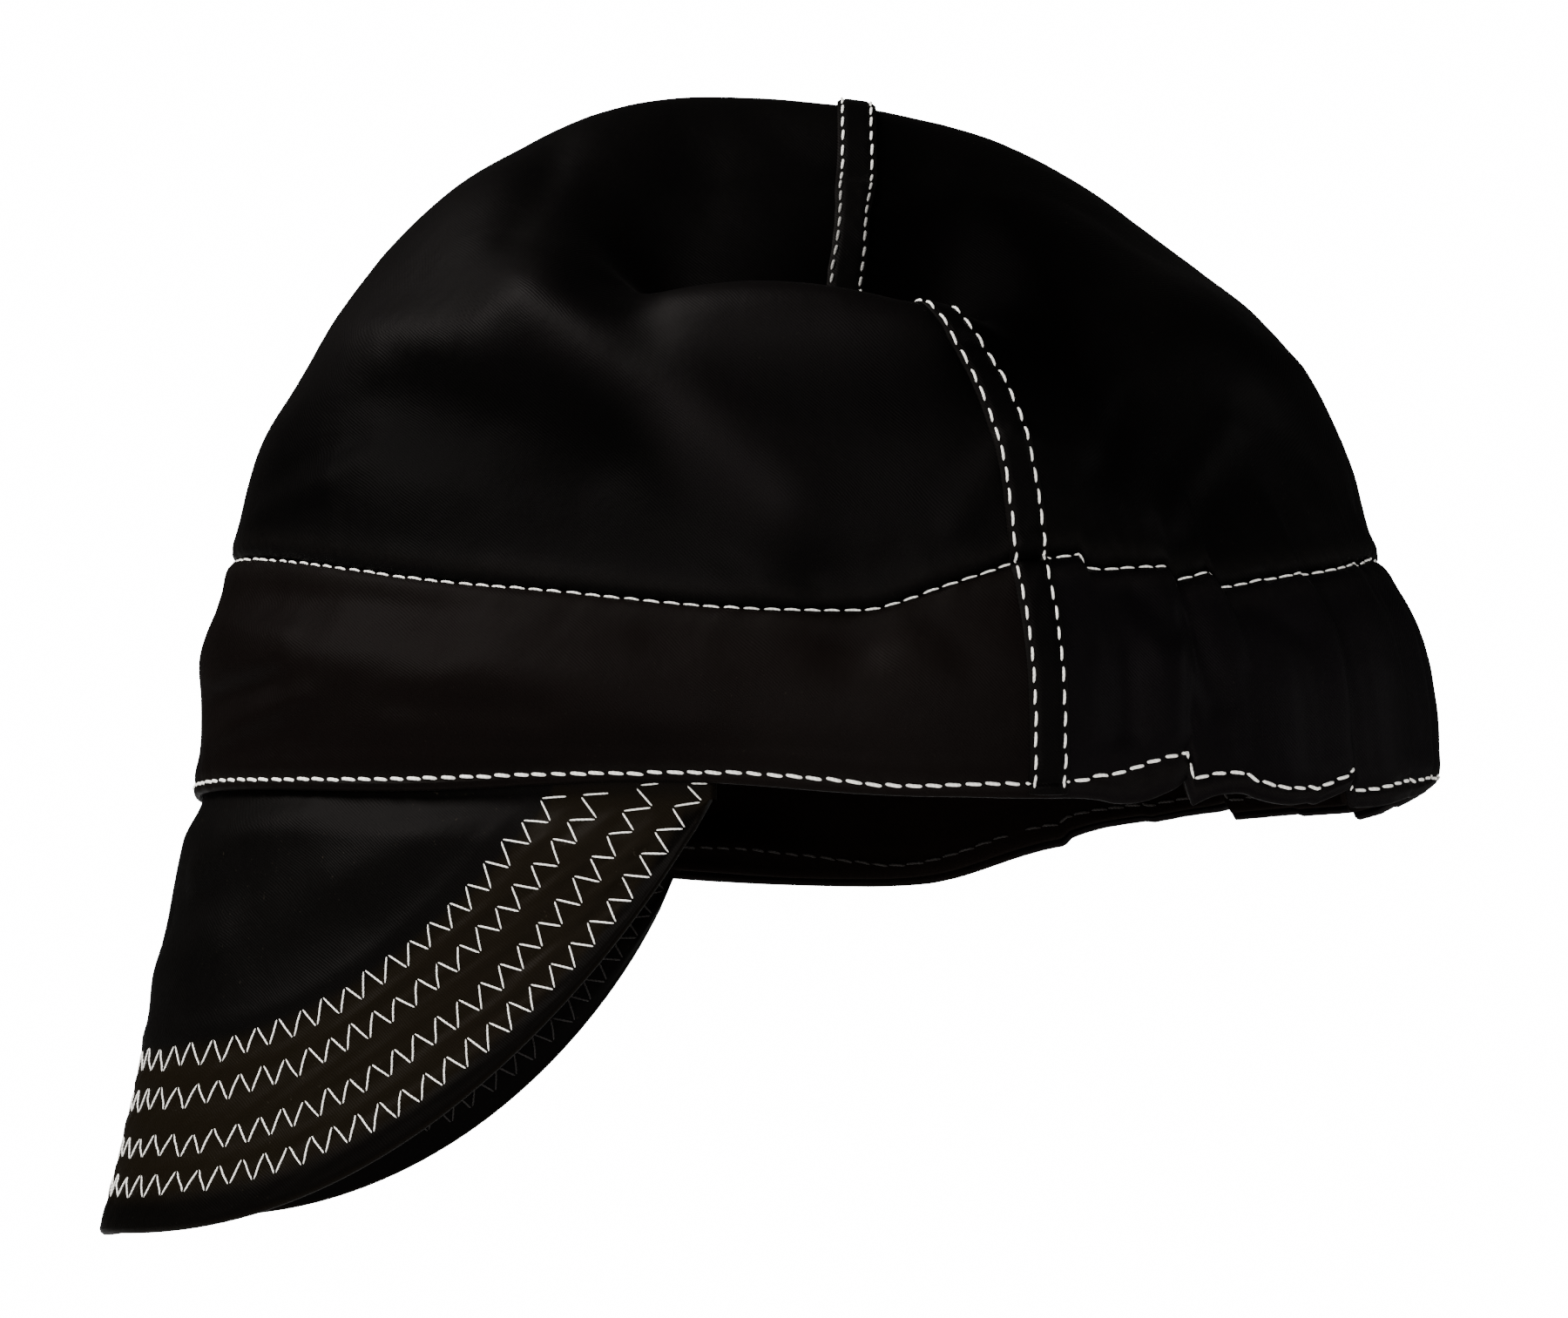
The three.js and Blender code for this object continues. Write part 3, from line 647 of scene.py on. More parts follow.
# Adds one mesh piece in millimetres, with its finish and what it stands for.
def add_piece(name, points, faces, material, replaces=(), values=None, corner_uv=None):
    mesh = bpy.data.meshes.new(name)
    mesh.from_pydata((np.asarray(points) * MM).tolist(), [], faces)
    mesh.polygons.foreach_set("use_smooth", np.ones(len(mesh.polygons), dtype=bool))
    for key, numbers in (values or {}).items():
        attribute = mesh.attributes.new(key, "FLOAT", "POINT")
        attribute.data.foreach_set("value", np.asarray(numbers, dtype=np.float32))
    if corner_uv is not None:
        layer = mesh.uv_layers.new(name="thread")
        layer.data.foreach_set("uv", np.asarray(corner_uv, dtype=np.float32).ravel())
    mesh.materials.append(material)
    mesh.update()
    piece = bpy.data.objects.new(name, mesh)
    bpy.context.scene.collection.objects.link(piece)
    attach(piece, BODY)
    if replaces:
        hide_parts(*replaces)
    return piece


# A closed slab of cloth from two grids of points. Each side's rim is rounded by its bulge, and pole says that
# the top row is a single point.
def cloth_slab(outer, inner, bulges, pole=False, rim_steps=5):
    rows, columns = outer.shape[:2]
    count = rows * columns
    points = [outer.reshape(-1, 3), inner.reshape(-1, 3)]
    ids = np.arange(count).reshape(rows, columns)
    if pole:
        ids[-1, :] = ids[-1, 0]
    faces = []

    def quads(a, b, c, d):
        for quad in np.stack([a, b, c, d], axis=-1).reshape(-1, 4).tolist():
            kept = [corner for place, corner in enumerate(quad) if corner != quad[place - 1]]
            if len(kept) >= 3:
                faces.append(kept)

    quads(ids[:-1, :-1], ids[:-1, 1:], ids[1:, 1:], ids[1:, :-1])
    quads(*(count + part for part in (ids[:-1, :-1], ids[1:, :-1], ids[1:, 1:], ids[:-1, 1:])))

    bottom, right, top, left = bulges
    loop = [(0, column, 1, column, bottom) for column in range(columns)]
    loop += [(row, columns - 1, row, columns - 2, right) for row in range(1, rows)]
    if not pole:
        loop += [(rows - 1, column, rows - 2, column, top) for column in range(columns - 2, -1, -1)]
    loop += [(row, 0, row, 1, left) for row in range(rows - 2, 0, -1)]
    loop = np.array(loop)
    row, column, in_row, in_column = loop[:, :4].astype(int).T
    bulge = loop[:, 4:5]
    rim_out = outer[row, column]
    rim_in = inner[row, column]
    middle = (rim_out + rim_in) / 2
    half = (rim_out - rim_in) / 2
    away = middle - (outer[in_row, in_column] + inner[in_row, in_column]) / 2
    half_square = np.maximum((half * half).sum(-1, keepdims=True), 1e-9)
    away = away - half * ((away * half).sum(-1, keepdims=True) / half_square)
    away = unit(away) * np.linalg.norm(half, axis=-1, keepdims=True) * bulge
    rings = [ids[row, column]]
    start = 2 * count
    for step in range(1, rim_steps):
        turn = math.pi * step / rim_steps
        points.append(middle + half * math.cos(turn) + away * math.sin(turn))
        rings.append(start + np.arange(len(loop)))
        start += len(loop)
    rings.append(count + ids[row, column])
    for ring, deeper in zip(rings[:-1], rings[1:]):
        quads(ring, deeper, np.roll(deeper, -1), np.roll(ring, -1))
    return np.concatenate(points), faces


# Drops points that no face uses, which a pole leaves over.
def tidy_points(points, faces, values):
    used = np.unique(np.concatenate([np.asarray(face) for face in faces]))
    place = np.full(len(points), -1)
    place[used] = np.arange(len(used))
    kept = {key: np.asarray(numbers)[used] for key, numbers in values.items()}
    return points[used], [place[face].tolist() for face in faces], kept


def add_slab(name, outer, inner, bulges, material, node, pole=False, values=None):
    points, faces = cloth_slab(outer, inner, bulges, pole)
    spare = len(points) - 2 * outer.shape[0] * outer.shape[1]
    full = {}
    for key, grid in (values or {}).items():
        flat = np.asarray(grid, float).ravel()
        full[key] = np.concatenate([flat, np.zeros(len(flat)), np.full(spare, flat.max() * 0.6)])
    points, faces, full = tidy_points(points, faces, full)
    piece = add_piece(name, points, faces, material, (node,), full)
    piece.data.set_sharp_from_angle(angle=math.radians(50))
    return piece


def grid(columns, rows, start, end):
    across = np.linspace(0, 1, columns + 1)[None, :]
    share = np.linspace(0, 1, rows + 1)[:, None]
    angle = start + (end - start) * across
    return np.broadcast_arrays(angle, share)


# Wear shows on the hem's fold and along the casing's edge.
def band_wear(angle, share):
    casing = casing_height_at(angle)
    height = share * casing
    return np.clip(bump(height, HEM_STITCH_HEIGHT / 2, 1.2) + 0.5 * bump(height, casing - 3, 1.5), 0, 1)


def add_band(name, node, columns, start, end, material):
    angle, share = grid(columns, BAND_MESH_ROWS, start, end)
    outer = band_point(angle, share)
    inner = band_point(angle, share, CLOTH_WALL, INNER_CRISP)
    # Painted shade: the band is darker and duller from the middle of the front out towards the temples.
    values = {"wear": band_wear(angle, share), "painted_shade": 0.5 * (1 - smooth(from_front(angle), 55, 95))}
    return add_slab(name, outer, inner, (1, 0, 0, 0), material, node, values=values)


def add_crown(name, node, columns, rear, material):
    across = np.linspace(0, 1, columns + 1)[None, :]
    up = np.linspace(0, 1, CROWN_MESH_ROWS + 1)[:, None]
    up = up - 0.25 * np.sin(2 * math.pi * up) / (2 * math.pi)
    share = np.broadcast_to(up, (CROWN_MESH_ROWS + 1, columns + 1))
    seam = seam_angle(share)
    start = seam if rear else -seam
    end = 360 - seam if rear else seam
    angle = start + (end - start) * across
    outer = crown_point(angle, share)
    inner = crown_point(angle, share, CLOTH_WALL, INNER_CRISP)
    wear = np.clip(bump(share * CROWN_CLOTH, 3.2, 1.6) * 0.5, 0, 1)
    # Painted light: ridges and the highlight patches get a painted highlight, and sinks, dents and the shade
    # patches get painted shade, darker and duller.
    plain = base_point(CROWN, angle, share)
    push, sink = fold_move(plain, MAIN_FOLDS)
    highlight_amount, shade_amount = (amount / HALF_WIDTH for amount in fold_move(plain, PAINTED_LIGHT_PATCHES))
    faded = np.clip(push / 5 + highlight_amount, 0, 1)
    painted_shade = np.clip(sink / 30 - np.maximum(push, 0) / 6 - np.minimum(push, 0) / 24 + shade_amount, 0, 1)
    values = {"wear": wear, "faded": faded, "painted_shade": painted_shade}
    return add_slab(name, outer, inner, (0, 0, 0, 0), material, node, True, values)


def facing_depth(angle, share):
    band_steps = len(BAND_ROWS) - 1
    tuck_row = math.ceil(PEAK_TUCK / CASING_HEIGHT * band_steps) / band_steps
    over_tuck = 1 - smooth(share, tuck_row - 0.02, tuck_row + 0.18)
    beside_peak = 1 - smooth(from_front(angle) - corner_angle(angle), 3, 12)
    return CLOTH_WALL + FACING_GAP + (PEAK_THICKNESS + PIECE_GAP) * over_tuck * beside_peak


def facing_point(angle, share, depth=0.0):
    lowest = FACING_MARGIN / CASING_HEIGHT
    kept = np.clip(share, lowest, 1 - lowest)
    return band_point(angle, kept, facing_depth(angle, kept) + depth, FACING_CRISP)


def add_facing(name, node, columns, start, end, material):
    angle, share = grid(columns, FACING_ROWS, start, end)
    lowest = FACING_MARGIN / CASING_HEIGHT
    share = lowest + (1 - 2 * lowest) * share
    height = share * casing_height_at(angle)
    groove = 0.35 * bump(height, HEM_STITCH_HEIGHT, 0.8) - 0.25 * bump(height, HEM_STITCH_HEIGHT + 2.6, 1.5)
    outer = facing_point(angle, share)
    inner = facing_point(angle, share, FACING_WALL - groove)
    values = {"wear": bump(height, 1.8, 1.0)}
    return add_slab(name, outer, inner, (0.8, 0, 0.8, 0), material, node, values=values)


# How far the peak's edge, or a row of stitches in it, hangs below the hem.
def peak_reach(angle, row=PEAK_EDGE):
    span = np.maximum(1 - np.abs(angle / (corner_angle(angle) * row.corner)) ** PEAK_ROUNDNESS, 0)
    skew = 1 - PEAK_SKEW * smooth(-angle, 0, FAR_CORNER_ANGLE / 2)
    return PEAK_DROP * row.drop * skew * span ** by_side(angle, PEAK_FULLNESS, FAR_FULLNESS)


PEAK_ANGLES = np.linspace(-PEAK_CORNER_ANGLE, PEAK_CORNER_ANGLE, 721)


# Millimetres round the hem from the middle of the front, on the face that the peak hangs from.
def measure_hem():
    hem = base_point(BAND, PEAK_ANGLES, np.zeros_like(PEAK_ANGLES))
    lengths = path_lengths(hem)
    return lengths - lengths[-1] / 2


PEAK_ALONG = measure_hem()


def along_hem(angle):
    return np.interp(angle, PEAK_ANGLES, PEAK_ALONG)


def angle_at(along):
    return np.interp(along, PEAK_ALONG, PEAK_ANGLES)


def zigzag_centre(row):
    angle = np.linspace(-FAR_CORNER_ANGLE * row.corner, PEAK_CORNER_ANGLE * row.corner, 1601)
    return np.stack([along_hem(angle), peak_reach(angle, row)], axis=-1)


ZIGZAG_CENTRES = [zigzag_centre(row) for row in ZIGZAG_ROWS]


def resample(path, step):
    lengths = path_lengths(path)
    count = max(int(lengths[-1] / step), 1)
    return follow(np.linspace(0, lengths[-1], count + 1), lengths, path)


# How far places on the peak lie from the nearest zigzag row, and from the innermost.
def distance_to_rows(along, drop):
    flat = np.stack([along.ravel(), drop.ravel()], axis=-1)
    gaps = []
    for centre in ZIGZAG_CENTRES:
        path = resample(centre, 1.2)
        gaps.append(np.linalg.norm(flat[:, None, :] - path[None, :, :], axis=-1).min(axis=1))
    return np.min(gaps, axis=0).reshape(along.shape), gaps[-1].reshape(along.shape)


def peak_face(angle, drop, inside=0.0, relief=0.0):
    angle, drop, inside = np.broadcast_arrays(np.asarray(angle, float), drop, inside)
    hang = np.clip(drop / np.maximum(peak_reach(angle), 1e-6), 0, 1)
    depth = CLOTH_WALL + PIECE_GAP
    thickness = PEAK_THICKNESS + (PEAK_EDGE_WALL - PEAK_THICKNESS) * smooth(hang, 0.8, 1)
    bow = PEAK_BOW * np.sin(math.pi * hang) * (np.cos(math.pi * hang) - PEAK_HOLLOW)
    swell = depth * smooth(drop, 1, 9) + bow
    out = outward(BAND, angle, np.full(angle.shape, LOWEST_SHARE), 0)
    root = base_point(BAND, angle, np.zeros(angle.shape))
    push = fold_move(root, MAIN_FOLDS)[0] + BROAD_UNEVENNESS * broad_waver(root)
    point = root + out * (push - depth + swell - inside * thickness + relief)[..., None]
    lean = math.tan(math.radians(PEAK_TILT))
    return point + np.stack([np.zeros_like(drop), -lean * drop, -drop], axis=-1)


def quilting(angle, drop):
    along = along_hem(angle)
    near, from_inner = distance_to_rows(along, drop)
    edge_away = peak_reach(angle) - drop
    quilted = smooth(drop - peak_reach(angle, ZIGZAG_ROWS[-1]), -3, 1)
    half = ZIGZAG_WIDTH / 2
    channel = -0.16 * (1 - smooth(near, half * 0.5, half * 1.2))
    puff = 0.12 * smooth(near, half, half * 1.5)
    beside = 0.35 * np.exp(-((from_inner - half - 2.2) / 2.0) ** 2) * (1 - quilted)
    rough = 0.16 * pucker(along * 1.2 + drop * 0.5, drop - along * 0.4, 31)
    relief = quilted * (channel + puff) + beside + quilted * rough * 0.9
    folds = np.zeros(angle.shape)
    for fold in PEAK_FOLDS:
        start = (along_hem(fold.angle * PEAK_CORNER_ANGLE), fold.drop * PEAK_DROP)
        end = (along_hem(fold.to_angle * PEAK_CORNER_ANGLE), fold.to_drop * PEAK_DROP)
        away = line_distance(np.stack([along, drop], axis=-1), start, end) / fold.spread
        folds += fold.push * np.exp(-(away**2))
    fade = smooth(drop, 0.5, 5) * smooth(edge_away, 0, 2)
    return relief * fade + folds * (1 - quilted) * fade, quilted


def add_peak(material):
    across = np.linspace(-1, 1, PEAK_COLUMNS + 1)
    across = across + 0.12 * np.sin(math.pi * across) / math.pi
    turn = across * np.where(across < 0, FAR_CORNER_ANGLE, PEAK_CORNER_ANGLE)
    angle = np.broadcast_to(turn, (PEAK_MESH_ROWS + 1, PEAK_COLUMNS + 1))
    down = np.linspace(0, 1, PEAK_MESH_ROWS + 1)[:, None]
    drop = down * peak_reach(angle)
    relief, quilted = quilting(angle, drop)
    top_faces = peak_face(angle, drop, 0.0, relief)
    under_relief = -0.5 * np.where(quilted > 0, relief, relief * 0.3)
    under_faces = peak_face(angle, drop, 1.0, under_relief)
    tuck_angle = np.broadcast_to(turn, (TUCK_ROWS, PEAK_COLUMNS + 1))
    tuck = np.linspace(PEAK_TUCK, PEAK_TUCK / TUCK_ROWS, TUCK_ROWS)[:, None] / CASING_HEIGHT
    tuck = np.broadcast_to(tuck, tuck_angle.shape)
    depth = CLOTH_WALL + PIECE_GAP
    tuck_outer = band_point(tuck_angle, tuck, depth, 0.0)
    tuck_inner = band_point(tuck_angle, tuck, depth + PEAK_THICKNESS, 0.0)
    outer = np.concatenate([tuck_outer, top_faces])[::-1]
    inner = np.concatenate([tuck_inner, under_faces])[::-1]
    margin = smooth(drop - peak_reach(angle, ZIGZAG_ROWS[0]), 0, ZIGZAG_WIDTH)
    values = {
        "wear": 0.15 * np.clip(1 - (peak_reach(angle) - drop) / 4, 0, 1),
        "quilt": quilted * (1 - 0.9 * margin),
        # Painted shade: the margin beyond the outer zigzag row is darker and duller.
        "painted_shade": 0.6 * margin,
    }
    values = {key: np.concatenate([np.zeros(tuck.shape), value])[::-1] for key, value in values.items()}
    rim = (1, 0.6, 0, 0.6)
    return add_slab("peak_quilt", outer, inner, rim, material, "peak", values=values)


# The felled seam. A place along it counts from the left hem (0) over the casing (1) to the top (2) and on to
# the right hem (4).
def seam_point(place, sideways, lift):
    place, sideways, lift = np.broadcast_arrays(np.asarray(place, float), sideways, lift)
    side = np.where(place <= 2, LEFT, RIGHT)
    up = np.minimum(place, 4 - place)
    in_band = up <= 1
    share = np.where(in_band, up, np.clip(up - 1, 0, 1))
    angle = side * np.where(in_band, BAND_SEAM_ANGLE, seam_angle(share))

    def surface(turn):
        turn = turn % 360
        band = band_point(turn, share, -lift)
        crown = crown_point(turn, share, -lift)
        return np.where(in_band[..., None], band, crown)

    centre = surface(angle)
    step = np.maximum(np.linalg.norm(surface(angle + side) - centre, axis=-1), 0.02)
    laid = surface(angle + side * sideways / step)
    square = centre + np.stack([np.zeros_like(sideways), sideways, sideways * TOP_SLOPE], axis=-1)
    top = smooth(share, 0.78, 0.9)[..., None] * ~in_band[..., None]
    return laid * (1 - top) + square * top


def add_fell(material):
    across = np.linspace(-1, 1, FELL_COLUMNS + 1)[None, :]
    place = np.linspace(0.0, 4.0, 4 * FELL_ROWS + 1)[:, None]
    sideways = np.broadcast_to(across * FELL_WIDTH / 2, (len(place), FELL_COLUMNS + 1))
    row_relief = -0.3 * bump(np.abs(sideways), NEEDLE_SPACING / 2, 0.45)
    crown = FELL_LIFT - 0.75 * np.abs(across) ** 7
    outer = seam_point(place, sideways, crown + row_relief)
    inner = seam_point(place, sideways, np.full(sideways.shape, 0.1))
    wear = np.broadcast_to(np.abs(across) ** 6 * 0.6, sideways.shape)
    return add_slab("crown_seam_fold", outer, inner, (0.7, 0, 0.7, 0), material,
                    "crown_seam_fell", values={"wear": wear})


# Stitches: each is a short thread, thickest in its middle, whose ends sink into the cloth.
def add_threads(name, centres, ups, radius, material, shade_at=None):
    count, rings = centres.shape[:2]
    share = np.linspace(0, 1, rings)
    along = unit(np.gradient(centres, axis=1))
    side = unit(np.cross(along, ups))
    up = np.cross(side, along)
    size = radius * np.clip(1 - np.abs(2 * share - 1) ** 5 * 0.65, 0.2, 1)
    turn = np.arange(THREAD_SIDES) * 2 * math.pi / THREAD_SIDES
    ring = side[:, :, None, :] * np.cos(turn)[:, None] + up[:, :, None, :] * np.sin(turn)[:, None]
    points = centres[:, :, None, :] + ring * size[None, :, None, None]
    first = np.arange(count)[:, None, None] * rings * THREAD_SIDES
    ids = first + np.arange(rings)[None, :, None] * THREAD_SIDES + np.arange(THREAD_SIDES)
    turned = np.roll(ids, -1, axis=2)
    quads = np.stack([ids[:, :-1], turned[:, :-1], turned[:, 1:], ids[:, 1:]], axis=-1)
    faces = quads.reshape(-1, 4).tolist()
    lengths = np.linalg.norm(np.diff(centres, axis=1), axis=-1).sum(axis=1)
    all_u = np.broadcast_to(share[None, :, None] * lengths[:, None, None], ids.shape)
    u = all_u[:, :-1]
    u_next = all_u[:, 1:]
    v = np.broadcast_to(np.arange(THREAD_SIDES) / THREAD_SIDES, u.shape)
    v_next = v + 1 / THREAD_SIDES
    corners = ((u, v), (u, v_next), (u_next, v_next), (u_next, v))
    uv = np.stack([np.stack(corner, axis=-1) for corner in corners], axis=-2)
    cap_uv = np.zeros((2 * count * THREAD_SIDES, 2))
    faces += ids[:, 0, ::-1].tolist() + ids[:, -1].tolist()
    uv = np.concatenate([uv.reshape(-1, 2), cap_uv])
    points = points.reshape(-1, 3)
    values = {"shaded": shade_at(points)} if shade_at else None
    return add_piece(name, points, faces, material, values=values, corner_uv=uv)


# The seam's thread is painted grey in the hollow above the fold, on the near side, as painted shade. Levels
# are from the hollow's foot up to where its painted shade has gone.
HOLLOW_LEVELS = (82, 86, 104, 116)


def seam_shade(points):
    foot, dark_from, dark_to, top = HOLLOW_LEVELS
    level = points[:, 2]
    return 0.85 * smooth(-level, -top, -dark_to) * smooth(level, foot, dark_from) * (points[:, 0] > 0)


def arch(height):
    share = np.linspace(0, 1, THREAD_RINGS)
    return height * np.sin(math.pi * share) ** 0.6 - THREAD_SINK


# Straight stitches along a dense path that lies on the cloth.
def stitch_path(path, ups, radius, sewing):
    lengths = path_lengths(path)
    count = int(lengths[-1] / sewing.pitch)
    start = (np.arange(count) + (1 - sewing.share) / 2) * sewing.pitch
    start = start + random.normal(0, 0.02 * sewing.pitch, count)
    stop = start + sewing.pitch * sewing.share * (1 + random.normal(0, 0.03, count))
    places = start[:, None] + (stop - start)[:, None] * np.linspace(0, 1, THREAD_RINGS)[None, :]
    centres = follow(places, lengths, path)
    lifted = unit(follow(places, lengths, ups))
    side = unit(np.cross(np.gradient(centres, axis=1), lifted))
    sway = np.linspace(-1, 1, THREAD_RINGS)[None, :] * sewing.lean + random.normal(0, 0.05, count)[:, None]
    centres = centres + lifted * (arch(radius * 1.9)[None, :, None]) + side * sway[..., None]
    return centres, lifted


def surface_normals(point_at, first, second, step_first, step_second):
    across = point_at(first + step_first, second) - point_at(first - step_first, second)
    up = point_at(first, second + step_second) - point_at(first, second - step_second)
    return unit(np.cross(across, up))


def line_around(surface, share_at, start, end):
    angle = np.linspace(start, end, PATH_POINTS)
    share = share_at(angle)
    path = surface(angle, share)
    return path, surface_normals(surface, angle, share, 0.35, 0.008)


def hem_share(angle):
    return hem_row(angle) / casing_height_at(angle)


def level_share(level):
    return lambda angle: np.full(angle.shape, level)


def facing_inside(angle, share):
    return facing_point(angle, share, FACING_WALL - 0.2)


# Each row: its name, the cloth it lies on, the way it faces, its thickness, its yarn, its sewing and where
# it runs.
def add_straight_stitching(thread, dark_thread):
    hem = (HEM_SEWING, hem_share)
    casing = (CASING_SEWING, level_share(CASING_ROW_SHARE))
    facing_casing = (CASING_SEWING, level_share(FACING_CASING_ROW_SHARE))
    rows = [
        ("hem_stitching", band_point, 1, HEM_THREAD_RADIUS, thread, *hem),
        ("casing_stitching", band_point, 1, CASING_THREAD_RADIUS, thread, *casing),
        ("facing_hem_stitching", facing_inside, -1, THREAD_RADIUS, dark_thread, *hem),
        ("facing_casing_stitching", facing_inside, -1, THREAD_RADIUS, dark_thread, *facing_casing),
    ]
    for half, (low, high) in (("front", FRONT_SPAN), ("rear", REAR_SPAN)):
        for name, surface, way, radius, yarn, sewing, share_at in rows:
            path, ups = line_around(surface, share_at, low + SEAM_CLEARANCE, high - SEAM_CLEARANCE)
            centres, lifted = stitch_path(path, way * ups, radius, sewing)
            add_threads(f"{name}_{half}", centres, lifted, radius, yarn)


def add_seam_stitching(thread, dark_thread):
    for name, row in (("front", -1), ("rear", 1)):
        place = np.linspace(0.012, 3.988, 2 * PATH_POINTS)
        offset = row * NEEDLE_SPACING / 2
        path = seam_point(place, offset, SEAM_THREAD_LIFT)
        ahead = seam_point(place + 0.004, offset, SEAM_THREAD_LIFT) - path
        beside = seam_point(place, offset + 0.4, SEAM_THREAD_LIFT)
        beside = beside - seam_point(place, offset - 0.4, SEAM_THREAD_LIFT)
        ups = unit(np.cross(ahead, beside))
        facing_out = ((path - CROWN_MIDDLE) * ups).sum(-1, keepdims=True)
        ups = ups * np.where(facing_out < 0, -1, 1)
        centres, lifted = stitch_path(path, ups, THREAD_RADIUS, SEAM_SEWING)
        add_threads(f"seam_stitching_{name}", centres, lifted, THREAD_RADIUS, thread, seam_shade)
        inner_place = np.linspace(0.95, 3.05, PATH_POINTS)
        path = seam_point(inner_place, row * NEEDLE_SPACING / 2, -(CLOTH_WALL - 0.1))
        centres, lifted = stitch_path(path, -follow(inner_place, place, ups), THREAD_RADIUS, SEAM_SEWING)
        add_threads(f"seam_stitching_inside_{name}", centres, lifted, THREAD_RADIUS, dark_thread)


# Places of the needle along a zigzag row, which runs on under the hem. Its pitch grows towards the front.
def zigzag_legs(centre):
    first = centre[0] + unit(centre[0] - centre[8]) * ZIGZAG_UNDER_HEM
    last = centre[-1] + unit(centre[-1] - centre[-9]) * ZIGZAG_UNDER_HEM
    path = resample(np.concatenate([[first], centre, [last]]), 0.2)
    front = 1 - smooth(np.abs(angle_at(path[:, 0])), 14, 52)
    steps = 0.2 / (ZIGZAG_PITCH / 2 * (1 + 0.42 * front))
    legs = np.concatenate([[0], np.cumsum(steps)[:-1]])
    whole = np.arange(int(legs[-1]) + 1)
    return follow(whole, legs, path)


# Zigzag rows on both faces of the peak, leg by leg.
def add_zigzags(thread, dark_thread):
    for number, centre in enumerate(ZIGZAG_CENTRES, start=1):
        legs = zigzag_legs(centre)
        ahead = unit(np.gradient(legs, axis=0))
        side = np.stack([-ahead[:, 1], ahead[:, 0]], axis=-1)
        swing = np.where(np.arange(len(legs)) % 2 == 0, 1, -1) * ZIGZAG_WIDTH / 2
        swing = swing * (1 + random.normal(0, 0.06, len(legs)))
        holes = legs + side * swing[:, None] + random.normal(0, 0.16, legs.shape)
        holes = holes[holes[:, 1] > ZIGZAG_TOP - 1]
        holes[:, 1] = np.maximum(holes[:, 1], ZIGZAG_TOP)
        share = np.linspace(0, 1, THREAD_RINGS)
        flat = holes[:-1, None, :] + (holes[1:] - holes[:-1])[:, None, :] * share[None, :, None]
        angle = np.clip(angle_at(flat[..., 0]), -FAR_CORNER_ANGLE * 0.995, PEAK_CORNER_ANGLE * 0.995)
        drop = np.minimum(flat[..., 1], peak_reach(angle) - 0.5)

        def top_face(turn, down):
            return peak_face(turn, down, 0.0, quilting(turn, down)[0])

        def under_face(turn, down):
            return peak_face(turn, down, 1.0, -0.5 * quilting(turn, down)[0])

        for name, face, way, yarn in (("", top_face, 1, thread), ("under_", under_face, -1, dark_thread)):
            point = face(angle, drop)
            ups = -way * surface_normals(face, angle, drop, 0.3, 0.4)
            centres = point + ups * arch(ZIGZAG_RADIUS * 2.1)[None, :, None]
            add_threads(f"peak_zigzag_{name}{number}", centres, ups, ZIGZAG_RADIUS, yarn)


# Materials. A tree's helpers take plain values and other nodes' outputs alike.
class Tree:
    def __init__(self, owner):
        self.nodes = owner.nodes
        self.links = owner.links

    def fill(self, node, inputs):
        for key, value in inputs.items():
            socket = node.inputs[key]
            if isinstance(value, bpy.types.NodeSocket):
                self.links.new(value, socket)
            elif isinstance(value, tuple) and len(socket.default_value) > len(value):
                socket.default_value = (*value, 1)
            else:
                socket.default_value = value
        return node

    def add(self, kind, inputs=(), **settings):
        node = self.nodes.new("ShaderNode" + kind)
        for key, value in settings.items():
            setattr(node, key, value)
        return self.fill(node, dict(inputs))

    def math(self, operation, *values):
        return self.add("Math", enumerate(values), operation=operation).outputs[0]

    def chain(self, operation, values):
        total = values[0]
        for value in values[1:]:
            total = self.math(operation, total, value)
        return total

    def product(self, *values):
        return self.chain("MULTIPLY", values)

    def sum(self, *values):
        return self.chain("ADD", values)

    def noise(self, place, scale, detail, roughness=0.5, output="Fac"):
        inputs = {"Vector": place, "Scale": scale, "Detail": detail, "Roughness": roughness}
        return self.add("TexNoise", inputs).outputs[output]

    def attribute(self, name):
        return self.add("Attribute", attribute_name=name).outputs["Fac"]

    def ramp(self, value, *stops):
        node = self.add("ValToRGB", {"Fac": value})
        while len(node.color_ramp.elements) < len(stops):
            node.color_ramp.elements.new(0.5)
        for element, (place, colour) in zip(node.color_ramp.elements, stops):
            element.position = place
            element.color = (*colour, 1)
        return node.outputs["Color"]

    def mix(self, share, first, second):
        inputs = {"Factor": share, 6: first, 7: second}
        return self.add("Mix", inputs, data_type="RGBA").outputs[2]

    def relief(self, height, strength, depth, **more):
        inputs = {"Height": height, "Strength": strength, "Distance": depth * MM, **more}
        return self.add("Bump", inputs).outputs["Normal"]


TWILL_PITCH = 0.62
BLACK = (0, 0, 0)
WHITE = (1, 1, 1)
DUST_COLOUR = (0.06, 0.05, 0.035)
SHADED_THREAD = (0.05, 0.045, 0.04)
CLOTH_GLOSS_TINT = (1.0, 0.90, 0.87)
CLOTH_SHEEN_TINT = (0.62, 0.58, 0.56)
PAINTED_SHADE_DULLNESS = 0.85


def start_material(name):
    material = bpy.data.materials.new(name)
    material.use_nodes = True
    tree = Tree(material.node_tree)
    return material, tree, tree.nodes["Principled BSDF"]


